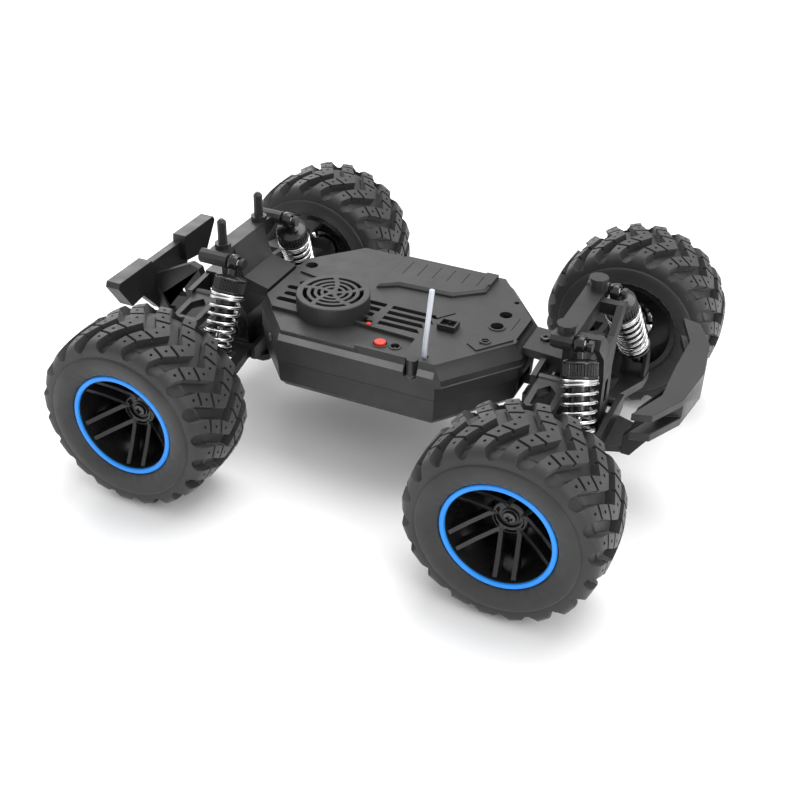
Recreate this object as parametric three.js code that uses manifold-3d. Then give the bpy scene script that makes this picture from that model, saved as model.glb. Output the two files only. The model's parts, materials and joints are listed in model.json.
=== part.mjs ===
// Rolling chassis of a small four-wheel-drive monster truck.
// Millimetres, +X forward, +Y left, +Z up, origin on the ground under the middle of the truck.
import * as THREE from 'three';
import { mergeVertices } from 'three/addons/utils/BufferGeometryUtils.js';
import Module from 'manifold-3d';

const wasm = await Module();
wasm.setup();

// ---------------------------------------------------------------- driving dimensions
const GAP = 0.3; // between parts that touch
const RUN = 0.5; // between a pin and the bore that turns on it

const WHEELBASE = 203;
const TRACK = 208.2; // between the middles of the tyres
const TYRE_RADIUS = 50;
const TYRE_WIDTH = 50;
const RIM_RADIUS = 28.6;
const RIM_WALL = 2.8;
const RIM_DEPTH = 42;
const RING_THICKNESS = 1.4;
const HUB_RADIUS = 8;
const STUB_RADIUS = 2.5;
const SHAFT_RADIUS = 2.2;
const PIN_RADIUS = 1.5;

const BOX_HALF_WIDTH = 54; // electronics box
const BOX_BOTTOM = 46;
const BOX_HEIGHT = 36.4;
const BOX_WALL = 2.4;
const BOX_REAR_SETBACK = 24.6; // from the rear axle to the box
const BOX_FRONT_SETBACK = 31.9;
const COVER_LIP = 2.3; // upright step round the lid
const COVER_BEVEL = 4.5; // height of the sloping strip below it

const FAN_RADIUS = 20;
const FAN_HEIGHT = 8.6; // above the lid
const BUTTON_RADIUS = 3.25;
const BUTTON_TRAVEL = 1.2;
const ANTENNA_RADIUS = 1.35;
const ANTENNA_LENGTH = 38.6; // above the lid

const ARM_PIVOT_Y = 18.5; // lower arm, hinge at the chassis
const ARM_PIVOT_Z = 41;
const HUB_INSET = 22.1; // from the tyre's middle in to the lower outer hinge
const HUB_PIVOT_Z = 36;
const LINK_PIVOT_Y = 24; // upper arm, hinge at the chassis
const LINK_PIVOT_Z = 72;
const LINK_HUB_Z = 65.2;
const ARM_THICKNESS = 5;

const SHOCK_EYE_Y = 29.8;
const SHOCK_EYE_Z = 101;
const SHOCK_STROKE = 21; // from the body's lower end to the lower eye
const SHOCK_BUMP = 7.8; // travel each way from rest
const SHOCK_DROOP = 2.6;
const SPRING_RADIUS = 8.2;
const SPRING_WIRE = 0.75;
const SPRING_TURNS = 7;
const SHOCK_HEAD_X = { front: 3.9, rear: 12.2 };
const SHOCK_FOOT_X = { front: 14.5, rear: 9.5 };
const SHOCK_FOOT_Z = { front: 52, rear: 50.7 };
const SHOCK_FOOT_SHARE = { front: 0.575, rear: 0.56 }; // of the way out along the lower arm

const FRONT_POST = { x: -5.1, y: 26.6, height: 8.2, radius: 5.2 }; // height above the shocks' eyes
const REAR_POST = { x: -1.2, y: 19.6, height: 18.6, radius: 2.6 };
const BUMPER_REACH = 60; // from the front axle to the nose
const BUMPER_HALF_WIDTH = 51;
const TAIL_REACH = 60; // from the rear axle to the back of the tail bar
const TAIL_HALF_WIDTH = 50.5;
const BATTERY_WIDTH = 26;
const BATTERY_HEIGHT = 13;
const MOTOR_RADIUS = 12;
const MOTOR_LENGTH = 36;

// ---------------------------------------------------------------- places that follow from them
const AXLE_X = WHEELBASE / 2;
const AXLE_Z = 50; // height at which the truck is drawn; it is set on its tyres at the end
const BOX_REAR = -AXLE_X + BOX_REAR_SETBACK;
const BOX_FRONT = AXLE_X - BOX_FRONT_SETBACK;
const BOX_TOP = BOX_BOTTOM + BOX_HEIGHT;
const BOX_SEAM = BOX_BOTTOM + 0.467 * BOX_HEIGHT;
const FAN_TOP = BOX_TOP + FAN_HEIGHT;
const alongBox = (share) => BOX_REAR + share * (BOX_FRONT - BOX_REAR);
const WHEEL_Y = TRACK / 2;
const HUB_PIVOT_Y = WHEEL_Y - HUB_INSET;
const KINGPIN_Y = HUB_PIVOT_Y + 2;

// ---------------------------------------------------------------- materials
const finish = (color, roughness, metalness = 0) =>
  new THREE.MeshStandardMaterial({ color, roughness, metalness });
const satinBlack = () => finish(0x1b1b1c, 0.5);
const deepBlack = () => finish(0x0e0e0f, 0.6);
const rubber = () => finish(0x17181a, 0.85);
const blue = () => finish(0x1f93e6, 0.4);
const chrome = () => finish(0xd8dadc, 0.2, 1);
const steel = () => finish(0x9a9c9f, 0.35, 1);
const red = () => finish(0xd3261c, 0.4);
const white = () => finish(0xe4e6ea, 0.5);

// ---------------------------------------------------------------- shape helpers
function toSolid(geometry) {
  const bare = geometry.clone();
  bare.deleteAttribute('normal');
  bare.deleteAttribute('uv');
  const merged = mergeVertices(bare, 1e-4);
  const faces = [];
  for (let i = 0; i < merged.index.count; i += 3) {
    const [a, b, c] = [0, 1, 2].map((k) => merged.index.getX(i + k));
    if (a !== b && b !== c && c !== a) faces.push(a, b, c);
  }
  return new wasm.Manifold(new wasm.Mesh({
    numProp: 3,
    vertProperties: new Float32Array(merged.attributes.position.array),
    triVerts: new Uint32Array(faces),
  }));
}

function toGeometry(solid) {
  const mesh = solid.getMesh();
  const geometry = new THREE.BufferGeometry();
  geometry.setAttribute('position', new THREE.BufferAttribute(mesh.vertProperties, 3));
  geometry.setIndex(new THREE.BufferAttribute(mesh.triVerts, 1));
  geometry.computeVertexNormals();
  return geometry;
}

function join(...shapes) {
  return toGeometry(shapes.map(toSolid).reduce((sum, piece) => sum.add(piece)));
}

function cut(shape, ...tools) {
  return toGeometry(tools.map(toSolid).reduce((rest, tool) => rest.subtract(tool), toSolid(shape)));
}

function block(x0, x1, y0, y1, z0, z1) {
  const box = new THREE.BoxGeometry(x1 - x0, y1 - y0, z1 - z0);
  return box.translate((x0 + x1) / 2, (y0 + y1) / 2, (z0 + z1) / 2);
}

// A straight round bar between two points.
const sidesFor = (radius) => [[2, 8], [7, 10], [12, 14], [99, 20]].find(([top]) => radius < top)[1];
function rod(radius, from, to, endRadius = radius, sides = sidesFor(radius)) {
  const a = new THREE.Vector3(...from);
  const b = new THREE.Vector3(...to);
  const bar = new THREE.CylinderGeometry(endRadius, radius, a.distanceTo(b), sides);
  const turn = new THREE.Quaternion().setFromUnitVectors(
    new THREE.Vector3(0, 1, 0), b.clone().sub(a).normalize());
  const middle = a.add(b).multiplyScalar(0.5);
  return bar.applyQuaternion(turn).translate(middle.x, middle.y, middle.z);
}

// A flat outline pushed along an axis, with windows cut through it. Points are (x, y), (y, z) or (x, z).
const PUSH = {
  z: new THREE.Matrix4(),
  x: new THREE.Matrix4().set(0, 0, 1, 0, 1, 0, 0, 0, 0, 1, 0, 0, 0, 0, 0, 1),
  y: new THREE.Matrix4().set(1, 0, 0, 0, 0, 0, -1, 0, 0, 1, 0, 0, 0, 0, 0, 1),
};
function prism(axis, outline, from, to, windows = []) {
  const shape = new THREE.Shape(outline.map(([a, b]) => new THREE.Vector2(a, b)));
  const solid = new THREE.ExtrudeGeometry(shape, { depth: to - from, bevelEnabled: false });
  solid.translate(0, 0, axis === 'y' ? -to : from).applyMatrix4(PUSH[axis]);
  if (windows.length === 0) return solid;
  return cut(solid, ...windows.map((window) => prism(axis, window, from - 1, to + 1)));
}

// A turned part: (radius, height) points around an axis.
function turned(profile, segments, axis = 'z') {
  const solid = new THREE.LatheGeometry(profile.map(([r, h]) => new THREE.Vector2(r, h)), segments);
  return axis === 'z' ? solid.rotateX(Math.PI / 2) : solid;
}

function flipped(geometry) {
  const copy = (geometry.index ? geometry.toNonIndexed() : geometry.clone()).scale(1, -1, 1);
  const p = copy.attributes.position;
  for (let i = 0; i < p.count; i += 3) {
    const b = [p.getX(i + 1), p.getY(i + 1), p.getZ(i + 1)];
    p.setXYZ(i + 1, p.getX(i + 2), p.getY(i + 2), p.getZ(i + 2));
    p.setXYZ(i + 2, ...b);
  }
  copy.computeVertexNormals();
  return copy;
}

const circle = (x, y, radius, count) => Array.from({ length: count }, (_, i) => {
  const angle = ((i + 0.5) / count) * 2 * Math.PI;
  return [x + radius * Math.cos(angle), y + radius * Math.sin(angle)];
});

const bothSides = (half) => [...half, ...half.map(([x, y]) => [x, -y]).reverse()];
const leftRight = (half) => [...half, ...half.map(([y, z]) => [-y, z]).reverse()];

// ---------------------------------------------------------------- the truck
const truck = new THREE.Group();

// Adds one part. Its shape is drawn in the parent's frame and stored about its own pivot.
function add(parent, name, geometry, material, pivot = [0, 0, 0]) {
  const mesh = new THREE.Mesh(geometry.clone().translate(...pivot.map((v) => -v)), material);
  mesh.name = name;
  mesh.position.set(...pivot);
  parent.add(mesh);
  return mesh;
}

// ---------------------------------------------------------------- electronics box
const REAR_CORNER = 25.6;
const FRONT_CORNER = 30.5;
const REAR_FACE = 24.8; // half width of the short rear and front faces
const FRONT_FACE = 14.7;

// Eight-sided outline of the box, drawn in by an inset.
function boxOutline(inset) {
  const slope = inset * 0.55;
  return bothSides([
    [BOX_REAR + inset, REAR_FACE - slope],
    [BOX_REAR + REAR_CORNER + slope, BOX_HALF_WIDTH - inset],
    [BOX_FRONT - FRONT_CORNER - slope, BOX_HALF_WIDTH - inset],
    [BOX_FRONT - inset, FRONT_FACE - slope],
  ]);
}

// A straight-sided layer between two insets: each level is the same outline drawn in further.
function loft(levels) {
  const rings = levels.map(([inset, z]) => boxOutline(inset).map(([x, y]) => [x, y, z]));
  const n = rings[0].length;
  const points = rings.flat(2);
  const faces = [];
  const wind = THREE.ShapeUtils.isClockWise(rings[0].map(([x, y]) => new THREE.Vector2(x, y)));
  const face = (a, b, c) => faces.push(...(wind ? [a, c, b] : [a, b, c]));
  for (let k = 0; k + 1 < rings.length; k += 1) {
    for (let i = 0; i < n; i += 1) {
      const j = (i + 1) % n;
      face(k * n + i, k * n + j, (k + 1) * n + j);
      face(k * n + i, (k + 1) * n + j, (k + 1) * n + i);
    }
  }
  for (let i = 1; i + 1 < n; i += 1) {
    face(0, i + 1, i);
    const top = (rings.length - 1) * n;
    face(top, top + i, top + i + 1);
  }
  const solid = new THREE.BufferGeometry();
  solid.setAttribute('position', new THREE.Float32BufferAttribute(points, 3));
  solid.setIndex(faces);
  return solid;
}

const BEVEL_Z = BOX_TOP - COVER_LIP - COVER_BEVEL;
const FAN_X = alongBox(0.2826);
const FAN_Y = -19.5;
const PANEL = { x: alongBox(0.568), y: 13.25 - BOX_HALF_WIDTH, length: 23, width: 16.5 };
const ANTENNA = [alongBox(0.7276), 8 - BOX_HALF_WIDTH];
const SOCKET = [alongBox(0.7263), -14];
const BUTTON = [alongBox(0.5427), 13.1 - BOX_HALF_WIDTH];
const BUTTON_TOP = BOX_TOP - 0.6;
const PANEL_FLOOR = BOX_TOP - 2.2;
const BORE_CLEAR = 0.35;

function chassisTub() {
  const shell = loft([[4.4, BOX_BOTTOM], [1.2, BOX_BOTTOM + 4], [0.3, BOX_SEAM - GAP]]);
  const room = loft([[4.4 + BOX_WALL, BOX_BOTTOM + BOX_WALL], [0.3 + BOX_WALL, BOX_SEAM + 1]]);
  // A slot in the front wall for the steering link.
  const slot = block(BOX_FRONT - 8, BOX_FRONT + 1, -9, 9, 52, 58);
  return cut(shell, room, slot);
}

function topCover() {
  const shell = loft([[0, BOX_SEAM], [0.2, BEVEL_Z], [2.6, BOX_TOP - COVER_LIP], [2.9, BOX_TOP]]);
  const room = loft([[BOX_WALL, BOX_SEAM - 1], [BOX_WALL, BEVEL_Z - 1.5], [5.6, BOX_TOP - BOX_WALL]]);
  // Raised plate on the left half of the lid.
  const side = BOX_HALF_WIDTH - 4.5;
  const plate = prism('z', [
    [FAN_X + 12.1, 9.1], [FAN_X + 22.5, 15.5], [alongBox(0.6526), 17.1], [alongBox(0.7556), 29.7],
    [alongBox(0.7536), side], [FAN_X + 12.1, side],
  ], BOX_TOP - 1, BOX_TOP + 2.6);
  const skirt = rod(FAN_RADIUS, [FAN_X, FAN_Y, BOX_TOP - 1.5], [FAN_X, FAN_Y, FAN_TOP]);
  let lid = cut(shell, room);
  lid = join(lid, plate, skirt);
  // The fan sits in a bore under a grille of two rings and five bars.
  const bore = rod(FAN_RADIUS - 2.4, [FAN_X, FAN_Y, BOX_TOP - 6], [FAN_X, FAN_Y, FAN_TOP + 1]);
  lid = cut(lid, bore);
  const ring = (outer, inner) => cut(
    rod(outer, [FAN_X, FAN_Y, FAN_TOP - 1.6], [FAN_X, FAN_Y, FAN_TOP]),
    rod(inner, [FAN_X, FAN_Y, FAN_TOP - 3], [FAN_X, FAN_Y, FAN_TOP + 1]));
  const bars = Array.from({ length: 5 }, (_, i) => {
    const angle = (i * 2 * Math.PI) / 5;
    return block(0, FAN_RADIUS - 1.5, -1.5, 1.5, -1.6, 0).rotateZ(angle)
      .translate(FAN_X, FAN_Y, FAN_TOP);
  });
  const hub = rod(4, [FAN_X, FAN_Y, FAN_TOP - 1.6], [FAN_X, FAN_Y, FAN_TOP]);
  lid = join(lid, ring(13.6, 11.2), hub, ...bars);
  // Vent slots on both sides of the fan, holes, and the recessed button panel.
  const vents = [-9, -3.4, 2.2].flatMap((y) => [
    block(FAN_X - 29, FAN_X - FAN_RADIUS - 2, FAN_Y + y, FAN_Y + y + 2.4, BOX_TOP - 4, BOX_TOP + 1),
    block(FAN_X + FAN_RADIUS + 2, FAN_X + 30, FAN_Y + y, FAN_Y + y + 2.4, BOX_TOP - 4, BOX_TOP + 1),
  ]);
  const panel = block(PANEL.x - PANEL.length / 2, PANEL.x + PANEL.length / 2,
    PANEL.y - PANEL.width / 2, PANEL.y + PANEL.width / 2, PANEL_FLOOR, BOX_TOP + 1);
  const hole = (x, y, r) => rod(r, [x, y, BOX_TOP - 5], [x, y, BOX_TOP + 1]);
  const holes = [
    hole(BOX_FRONT - 17.7, 12.5, 3.5), hole(BOX_FRONT - 17.5, -1.6, 3.5),
    hole(BOX_FRONT - 17, 27.6, 1.5), hole(BOX_FRONT - 17.2, -19.7, 2), hole(BOX_REAR + 9, 17.7, 3.5),
    hole(...ANTENNA, ANTENNA_RADIUS + BORE_CLEAR), hole(...BUTTON, BUTTON_RADIUS + BORE_CLEAR),
    hole(BUTTON[0] + 8.2, BUTTON[1] + 0.7, 2.4), // charging light
  ];
  return cut(lid, ...vents, panel, ...holes);
}

function coolingFan() {
  const top = FAN_TOP - 3;
  const hub = rod(5, [FAN_X, FAN_Y, BOX_TOP - 3], [FAN_X, FAN_Y, top]);
  const blades = Array.from({ length: 7 }, (_, i) => block(3, FAN_RADIUS - 4, -0.7, 0.7, -3, 3)
    .rotateX(0.7).rotateZ((i * 2 * Math.PI) / 7).translate(FAN_X, FAN_Y, (BOX_TOP - 3 + top) / 2));
  return join(hub, ...blades);
}

function powerButton() {
  const [x, y] = BUTTON;
  const flange = rod(BUTTON_RADIUS + 1.6, [x, y, BOX_TOP - 9], [x, y, BOX_TOP - 7.4]);
  return join(rod(BUTTON_RADIUS, [x, y, BOX_TOP - 8], [x, y, BUTTON_TOP]), flange);
}

function chargeSocket() {
  const [x, y] = SOCKET;
  const shell = cut(block(x - 5, x + 5, y - 4, y + 4, BOX_TOP + GAP, BOX_TOP + 3.3),
    block(x - 3.9, x + 3.9, y - 2.9, y + 2.9, BOX_TOP + 1, BOX_TOP + 4));
  const pins = [-1.8, 1.8].map((dy) => block(x - 0.4, x + 0.4, y + dy - 0.4, y + dy + 0.4,
    BOX_TOP + 0.8, BOX_TOP + 2.8));
  return join(shell, ...pins);
}

// The antenna tube leans a little forward above a short bend.
class AntennaLine extends THREE.Curve {
  getPoint(t, target = new THREE.Vector3()) {
    const height = t * (ANTENNA_LENGTH + 4) - 4;
    const lean = Math.max(0, height - 2) / ANTENNA_LENGTH;
    return target.set(ANTENNA[0] + 3 * lean ** 1.3, ANTENNA[1] + 0.5 * lean, BOX_TOP + height);
  }
}

function antennaTube() {
  const section = new THREE.Shape(circle(0, 0, ANTENNA_RADIUS, 8).map((p) => new THREE.Vector2(...p)));
  return new THREE.ExtrudeGeometry(section, { steps: 10, extrudePath: new AntennaLine() });
}

const BOX_FLOOR = BOX_BOTTOM + BOX_WALL + GAP; // where the things in the box stand

function batteryPack() {
  const y = 15.2 - BOX_HALF_WIDTH;
  return block(alongBox(0.2185), alongBox(0.71), y, y + BATTERY_WIDTH,
    BOX_FLOOR, BOX_FLOOR + BATTERY_HEIGHT);
}

function driveMotor() {
  const [x, y, z] = [BOX_REAR + 13, MOTOR_RADIUS + 3, BOX_FLOOR + MOTOR_RADIUS];
  const can = rod(MOTOR_RADIUS, [x, y, z], [x + MOTOR_LENGTH, y, z]);
  return join(can, rod(2, [x + MOTOR_LENGTH - 1, y, z], [x + MOTOR_LENGTH + 9, y, z]));
}

const SERVO_X = BOX_FRONT - 31;
const LINK_AXIS_X = BOX_FRONT - 13; // steering link's upright shaft
const ROD_Z = 54.4; // tie rod's inner end
const ROD_X = -22; // tie rod's inner end, from the axle

function steeringServo() {
  const body = block(SERVO_X - 6, SERVO_X + 8, -11, 12, BOX_FLOOR, BOX_FLOOR + 22);
  return join(body, block(SERVO_X - 6, SERVO_X + 8, -15, 16, BOX_FLOOR + 14, BOX_FLOOR + 16.4));
}

// Bell crank on an upright shaft inside the box: its tongue reaches forward through the slot.
function steeringLink() {
  const shaft = rod(4, [LINK_AXIS_X, 0, 50.5], [LINK_AXIS_X, 0, 64]);
  const tip = AXLE_X + ROD_X;
  const tongue = prism('z', [[LINK_AXIS_X, -3], [tip - 3, -3], [tip + 1.5, -4.5], [tip + 1.5, 4.5],
    [tip - 3, 3], [LINK_AXIS_X, 3]], ROD_Z - 1.2, ROD_Z + 1.2);
  return join(shaft, tongue);
}

add(truck, 'chassis_tub', chassisTub(), satinBlack());
add(truck, 'top_cover', topCover(), satinBlack());
add(truck, 'cooling_fan', coolingFan(), deepBlack(), [FAN_X, FAN_Y, BOX_TOP]);
add(truck, 'power_button', powerButton(), red(), [...BUTTON, BUTTON_TOP]);
add(truck, 'charge_socket', chargeSocket(), deepBlack(), [...SOCKET, BOX_TOP]);
add(truck, 'antenna_tube', antennaTube(), white());
add(truck, 'battery_pack', batteryPack(), blue());
add(truck, 'drive_motor', driveMotor(), steel());
add(truck, 'steering_servo', steeringServo(), deepBlack());
add(truck, 'steering_link', steeringLink(), deepBlack(), [LINK_AXIS_X, 0, ROD_Z]);

// ---------------------------------------------------------------- gearboxes
const SKID_BOTTOM = 32;
const SKID_TOP = 36;
const CASE_HALF_WIDTH = 13.5;
const CASE_TOP = 68;
const BARREL = 3; // hinge barrel radius
const BARREL_HALF = 14; // half the lower arm's hinge length
const LUG = 3; // hinge lug thickness
const CUP_RADIUS = 5.5;
const HALF_SHAFT_INNER_Y = 16.5;
const NECK = 5;

// One end of the truck: case, skid plate, hinge lugs with their pins, and the two drive cups. Its neck
// reaches to the box between two places along X.
function gearbox(skid, neck, neckTop) {
  const { back, front } = CASE;
  const body = prism('y', [[back, SKID_TOP - 1], [front, SKID_TOP - 1], [front, CASE_TOP - 9],
    [front - 6, CASE_TOP], [back + 3, CASE_TOP], [back, CASE_TOP - 4]],
  -CASE_HALF_WIDTH, CASE_HALF_WIDTH);
  const pieces = [body, prism('z', bothSides(skid), SKID_BOTTOM, SKID_TOP),
    block(...neck, -NECK, NECK, SKID_TOP - 2, neckTop)];
  for (const x of [-BARREL_HALF - LUG - GAP, BARREL_HALF + GAP]) {
    pieces.push(prism('x', [[-ARM_PIVOT_Y - 4, ARM_PIVOT_Z - 4], [-12, SKID_BOTTOM + 1],
      [12, SKID_BOTTOM + 1], [ARM_PIVOT_Y + 4, ARM_PIVOT_Z - 4], [ARM_PIVOT_Y + 4, ARM_PIVOT_Z + 4],
      [12, ARM_PIVOT_Z + 5], [-12, ARM_PIVOT_Z + 5], [-ARM_PIVOT_Y - 4, ARM_PIVOT_Z + 4]], x, x + LUG));
  }
  for (const side of [-1, 1]) {
    const y = side * ARM_PIVOT_Y;
    const reach = BARREL_HALF + LUG;
    pieces.push(rod(PIN_RADIUS, [-reach, y, ARM_PIVOT_Z], [reach, y, ARM_PIVOT_Z]));
    pieces.push(rod(CUP_RADIUS, [0, side * (CASE_HALF_WIDTH - 2), AXLE_Z],
      [0, side * (CASE_HALF_WIDTH + 4.5), AXLE_Z]));
  }
  const cups = [-1, 1].map((side) => rod(SHAFT_RADIUS + 1.6, [0, side * (CASE_HALF_WIDTH - 1), AXLE_Z],
    [0, side * (CASE_HALF_WIDTH + 6), AXLE_Z]));
  return cut(join(...pieces), ...cups);
}

const CASE = { back: -16.5, front: 8 };
const frontEnd = new THREE.Group();
frontEnd.position.x = AXLE_X;
truck.add(frontEnd);
const rearEnd = new THREE.Group();
rearEnd.position.x = -AXLE_X;
truck.add(rearEnd);

const SKID_NOSE = 26.5;
add(frontEnd, 'front_gearbox', gearbox([[-BOX_FRONT_SETBACK + 6, 10], [-18, 15], [18, 15], [SKID_NOSE, 12]],
  [-BOX_FRONT_SETBACK + GAP, CASE.back + 2], BOX_BOTTOM + 2), deepBlack());
add(rearEnd, 'rear_gearbox', gearbox([[-24, 12], [-18, 15], [18, 15], [BOX_REAR_SETBACK - 4, 12]],
  [CASE.front - 2, BOX_REAR_SETBACK - GAP], BOX_BOTTOM + 3), deepBlack());

// ---------------------------------------------------------------- shock towers
const BOSS_RADIUS = 4;
const EYE_WIDTH = 5;
const SIDE_PLAY = 1.3; // beside a shock's eye, which tilts as the arm moves

// A boss, a pin through the shock's eye and the pin's head, all along X at one side of a tower.
function shockPin(eyeX, side, bossBack) {
  const y = side * SHOCK_EYE_Y;
  const near = eyeX - EYE_WIDTH / 2 - SIDE_PLAY;
  const far = eyeX + EYE_WIDTH / 2 + SIDE_PLAY;
  return [rod(BOSS_RADIUS, [bossBack, y, SHOCK_EYE_Z], [near, y, SHOCK_EYE_Z]),
    rod(PIN_RADIUS, [near - 1, y, SHOCK_EYE_Z], [far + 1, y, SHOCK_EYE_Z]),
    rod(3, [far, y, SHOCK_EYE_Z], [far + 2.2, y, SHOCK_EYE_Z])];
}

const LINK_X = [-17.5, -1.5]; // the upper arm lies behind the shock

// Lugs and a pin for one upper arm.
function linkHinge(side) {
  const y = side * LINK_PIVOT_Y;
  const tip = y + side * 4.2;
  const root = side * 8;
  const lug = (x) => prism('x', [[tip, LINK_PIVOT_Z - 4], [tip, LINK_PIVOT_Z + 4],
    [root, LINK_PIVOT_Z + 6], [root, LINK_PIVOT_Z - 3.3]], x, x + LUG);
  return [lug(LINK_X[0] - LUG - GAP), lug(LINK_X[1] + GAP),
    rod(PIN_RADIUS, [LINK_X[0] - LUG, y, LINK_PIVOT_Z], [LINK_X[1] + LUG, y, LINK_PIVOT_Z])];
}

// Block on top of the gear case that carries the upper arms' lugs.
const hingeBlock = (top) => block(LINK_X[0] - LUG - GAP, LINK_X[1] + LUG + GAP, -9, 9, CASE_TOP + GAP, top);

const TOWER_DECK = [BOX_TOP - 6.4, BOX_TOP - 2]; // underside and top where a deck meets the box

function frontTower() {
  const eye = SHOCK_EYE_Z;
  const plateX = CASE.front + GAP;
  const plate = prism('x', leftRight([[4, 40], [9, 44], [8, 70], [12, eye - 17], [24, eye - 5], [22, eye],
    [17, eye], [4, eye - 12]]), plateX, plateX + 3.5, [[[-2.6, 52], [2.6, 52], [2.6, 66], [-2.6, 66]]]);
  const beamLow = Math.max(eye - 9, LINK_PIVOT_Z + 4.6); // clear of the upper arms' barrels
  const beam = prism('x', leftRight([[24, beamLow], [31, beamLow + 5], [31, eye + 1.5]]), -11.5, -0.5);
  // Foot: a rib from the beam down to the top of the gear case, and the deck back to the box.
  const rib = block(-9.5, -5.5, -14, 14, CASE_TOP + GAP, eye - 8);
  const boxFace = -BOX_FRONT_SETBACK + 2 * GAP;
  const deck = prism('y', [[boxFace, TOWER_DECK[0]], [-6, TOWER_DECK[0] - 2], [-6, TOWER_DECK[1] - 1.4],
    [boxFace, TOWER_DECK[1]]], -12, 12);
  const pieces = [plate, beam, rib, deck, hingeBlock(TOWER_DECK[0])];
  for (const side of [-1, 1]) {
    pieces.push(block(-2, plateX + 1, side * 19.5 - 2.5, side * 19.5 + 2.5, eye - 7, eye - 0.5));
    pieces.push(...shockPin(SHOCK_HEAD_X.front, side, -11.2), ...linkHinge(side));
    const [x, y, top] = [FRONT_POST.x, side * FRONT_POST.y, eye + FRONT_POST.height];
    pieces.push(rod(FRONT_POST.radius - 0.7, [x, y, eye], [x, y, top - 1.5]));
    pieces.push(rod(FRONT_POST.radius, [x, y, top - 2.2], [x, y, top]));
  }
  return join(...pieces);
}

function rearTower() {
  const eye = SHOCK_EYE_Z;
  const boxFace = BOX_REAR_SETBACK - 2 * GAP;
  // Wedge with a big smooth front face, and the deck that runs forward to the box.
  const wedge = prism('y', [[-6.5, eye + 0.5], [3.5, eye + 0.5], [9, BOX_TOP + 2.6],
    [boxFace, TOWER_DECK[1] + 0.6], [boxFace, TOWER_DECK[0]], [2, TOWER_DECK[0]], [-1, eye - 7],
    [-6.5, eye - 7]], -16, 16);
  const beam = prism('x', leftRight([[22.5, eye - 7], [31, eye - 4], [31, eye + 1], [22, eye + 2]]),
    -6.5, 3.5);
  const rib = block(-6.5, -1.5, -14, 14, CASE_TOP + GAP, eye - 5);
  const pieces = [wedge, beam, rib, hingeBlock(TOWER_DECK[0] + 3)];
  for (const side of [-1, 1]) {
    pieces.push(...shockPin(SHOCK_HEAD_X.rear, side, -8.5), ...linkHinge(side));
    const [x, y, top] = [REAR_POST.x, side * REAR_POST.y, eye + REAR_POST.height];
    pieces.push(rod(REAR_POST.radius + 2, [x, y, eye + 1], [x, y, eye + 4.5]));
    pieces.push(rod(REAR_POST.radius, [x, y, eye + 4], [x, y, top - 1.6]));
    pieces.push(rod(REAR_POST.radius, [x, y, top - 1.7], [x, y, top], REAR_POST.radius * 0.45));
  }
  return join(...pieces);
}

add(frontEnd, 'front_tower', frontTower(), satinBlack());
add(rearEnd, 'rear_tower', rearTower(), satinBlack());

// ---------------------------------------------------------------- bumpers
function frontBumper() {
  const nose = BUMPER_REACH;
  const tip = BUMPER_HALF_WIDTH;
  const knee = 28.5; // where the bar turns back
  const bar = prism('z', [[nose - 14.5, 0], [nose - 14, knee], [nose - 23, tip], [nose - 13.3, tip - 2.5],
    [nose - 3.5, knee], [nose, 0], [nose - 3.5, -knee], [nose - 13.3, 2.5 - tip], [nose - 23, -tip],
    [nose - 14, -knee]], 68, 83);
  const windows = [-1, 1].map((side) => block(-20, 20, -8, 8, 72.5, 79)
    .rotateZ(-side * 0.4).translate(nose - 12, side * (tip - 11.5), 0));
  // A ramp rises from the nose of the skid plate to the bar, stiffened by a rib at each edge.
  const ramp = prism('y', [[SKID_NOSE + GAP, 33], [SKID_NOSE + 5, 33], [nose - 19, 47], [nose - 6, 69],
    [nose - 12, 69], [nose - 22, 51], [SKID_NOSE + GAP, 38]], -12, 12);
  const ribs = [-1, 1].map((side) => prism('y', [[SKID_NOSE + GAP, 33], [SKID_NOSE + 5, 33],
    [nose - 19, 47], [nose - 6, 69], [nose - 15, 69], [nose - 27, 52], [SKID_NOSE + GAP, 44]],
  side * 12.5 - 2, side * 12.5 + 2));
  return join(cut(bar, ...windows), ramp, ...ribs);
}

function rearBumper() {
  const back = -TAIL_REACH;
  const w = TAIL_HALF_WIDTH;
  const web = prism('x', leftRight([[9, 46], [26, 64], [w - 11, 64], [w - 11, 77.5]]), back, back + 5);
  // Thick end blocks, higher than the web between them.
  const blocks = [-1, 1].map((side) => prism('x', [[17, 66], [w - 11, 63], [w, 79], [w - 1.5, 82],
    [17.6, 82], [17, 77]].map(([y, z]) => [side * y, z]), back, back + 9));
  // Low brace to the skid plate, and a loop strut to the back of the gear case.
  const brace = prism('y', [[back + 1, 52], [back + 6, 40], [-24.5, 33], [-24.5, 39], [back + 13, 46],
    [back + 5, 60]], -9, 9);
  const loop = prism('y', [[back + 4, 60], [back + 4, 47], [-21.3, 54], [-21.3, 62], [-26, 78],
    [-32, 80], [back + 4, 68]], -8, -3, [[[back + 8, 56], [-36, 58], [-38, 66]]]);
  return join(web, ...blocks, brace, loop);
}

add(frontEnd, 'front_bumper', frontBumper(), satinBlack());
add(rearEnd, 'rear_bumper', rearBumper(), satinBlack());

// ---------------------------------------------------------------- suspension corner, left side
const slopeZ = (y) => ARM_PIVOT_Z + ((HUB_PIVOT_Z - ARM_PIVOT_Z) * (y - ARM_PIVOT_Y))
  / (HUB_PIVOT_Y - ARM_PIVOT_Y);
const CHEEK = 2;
const CARRIER_HALF = 7.4; // inner faces of the carrier's lower ears

function sheared(geometry, height) {
  const p = geometry.attributes.position;
  for (let i = 0; i < p.count; i += 1) p.setZ(i, p.getZ(i) + height(p.getY(i)));
  return geometry;
}

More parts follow.
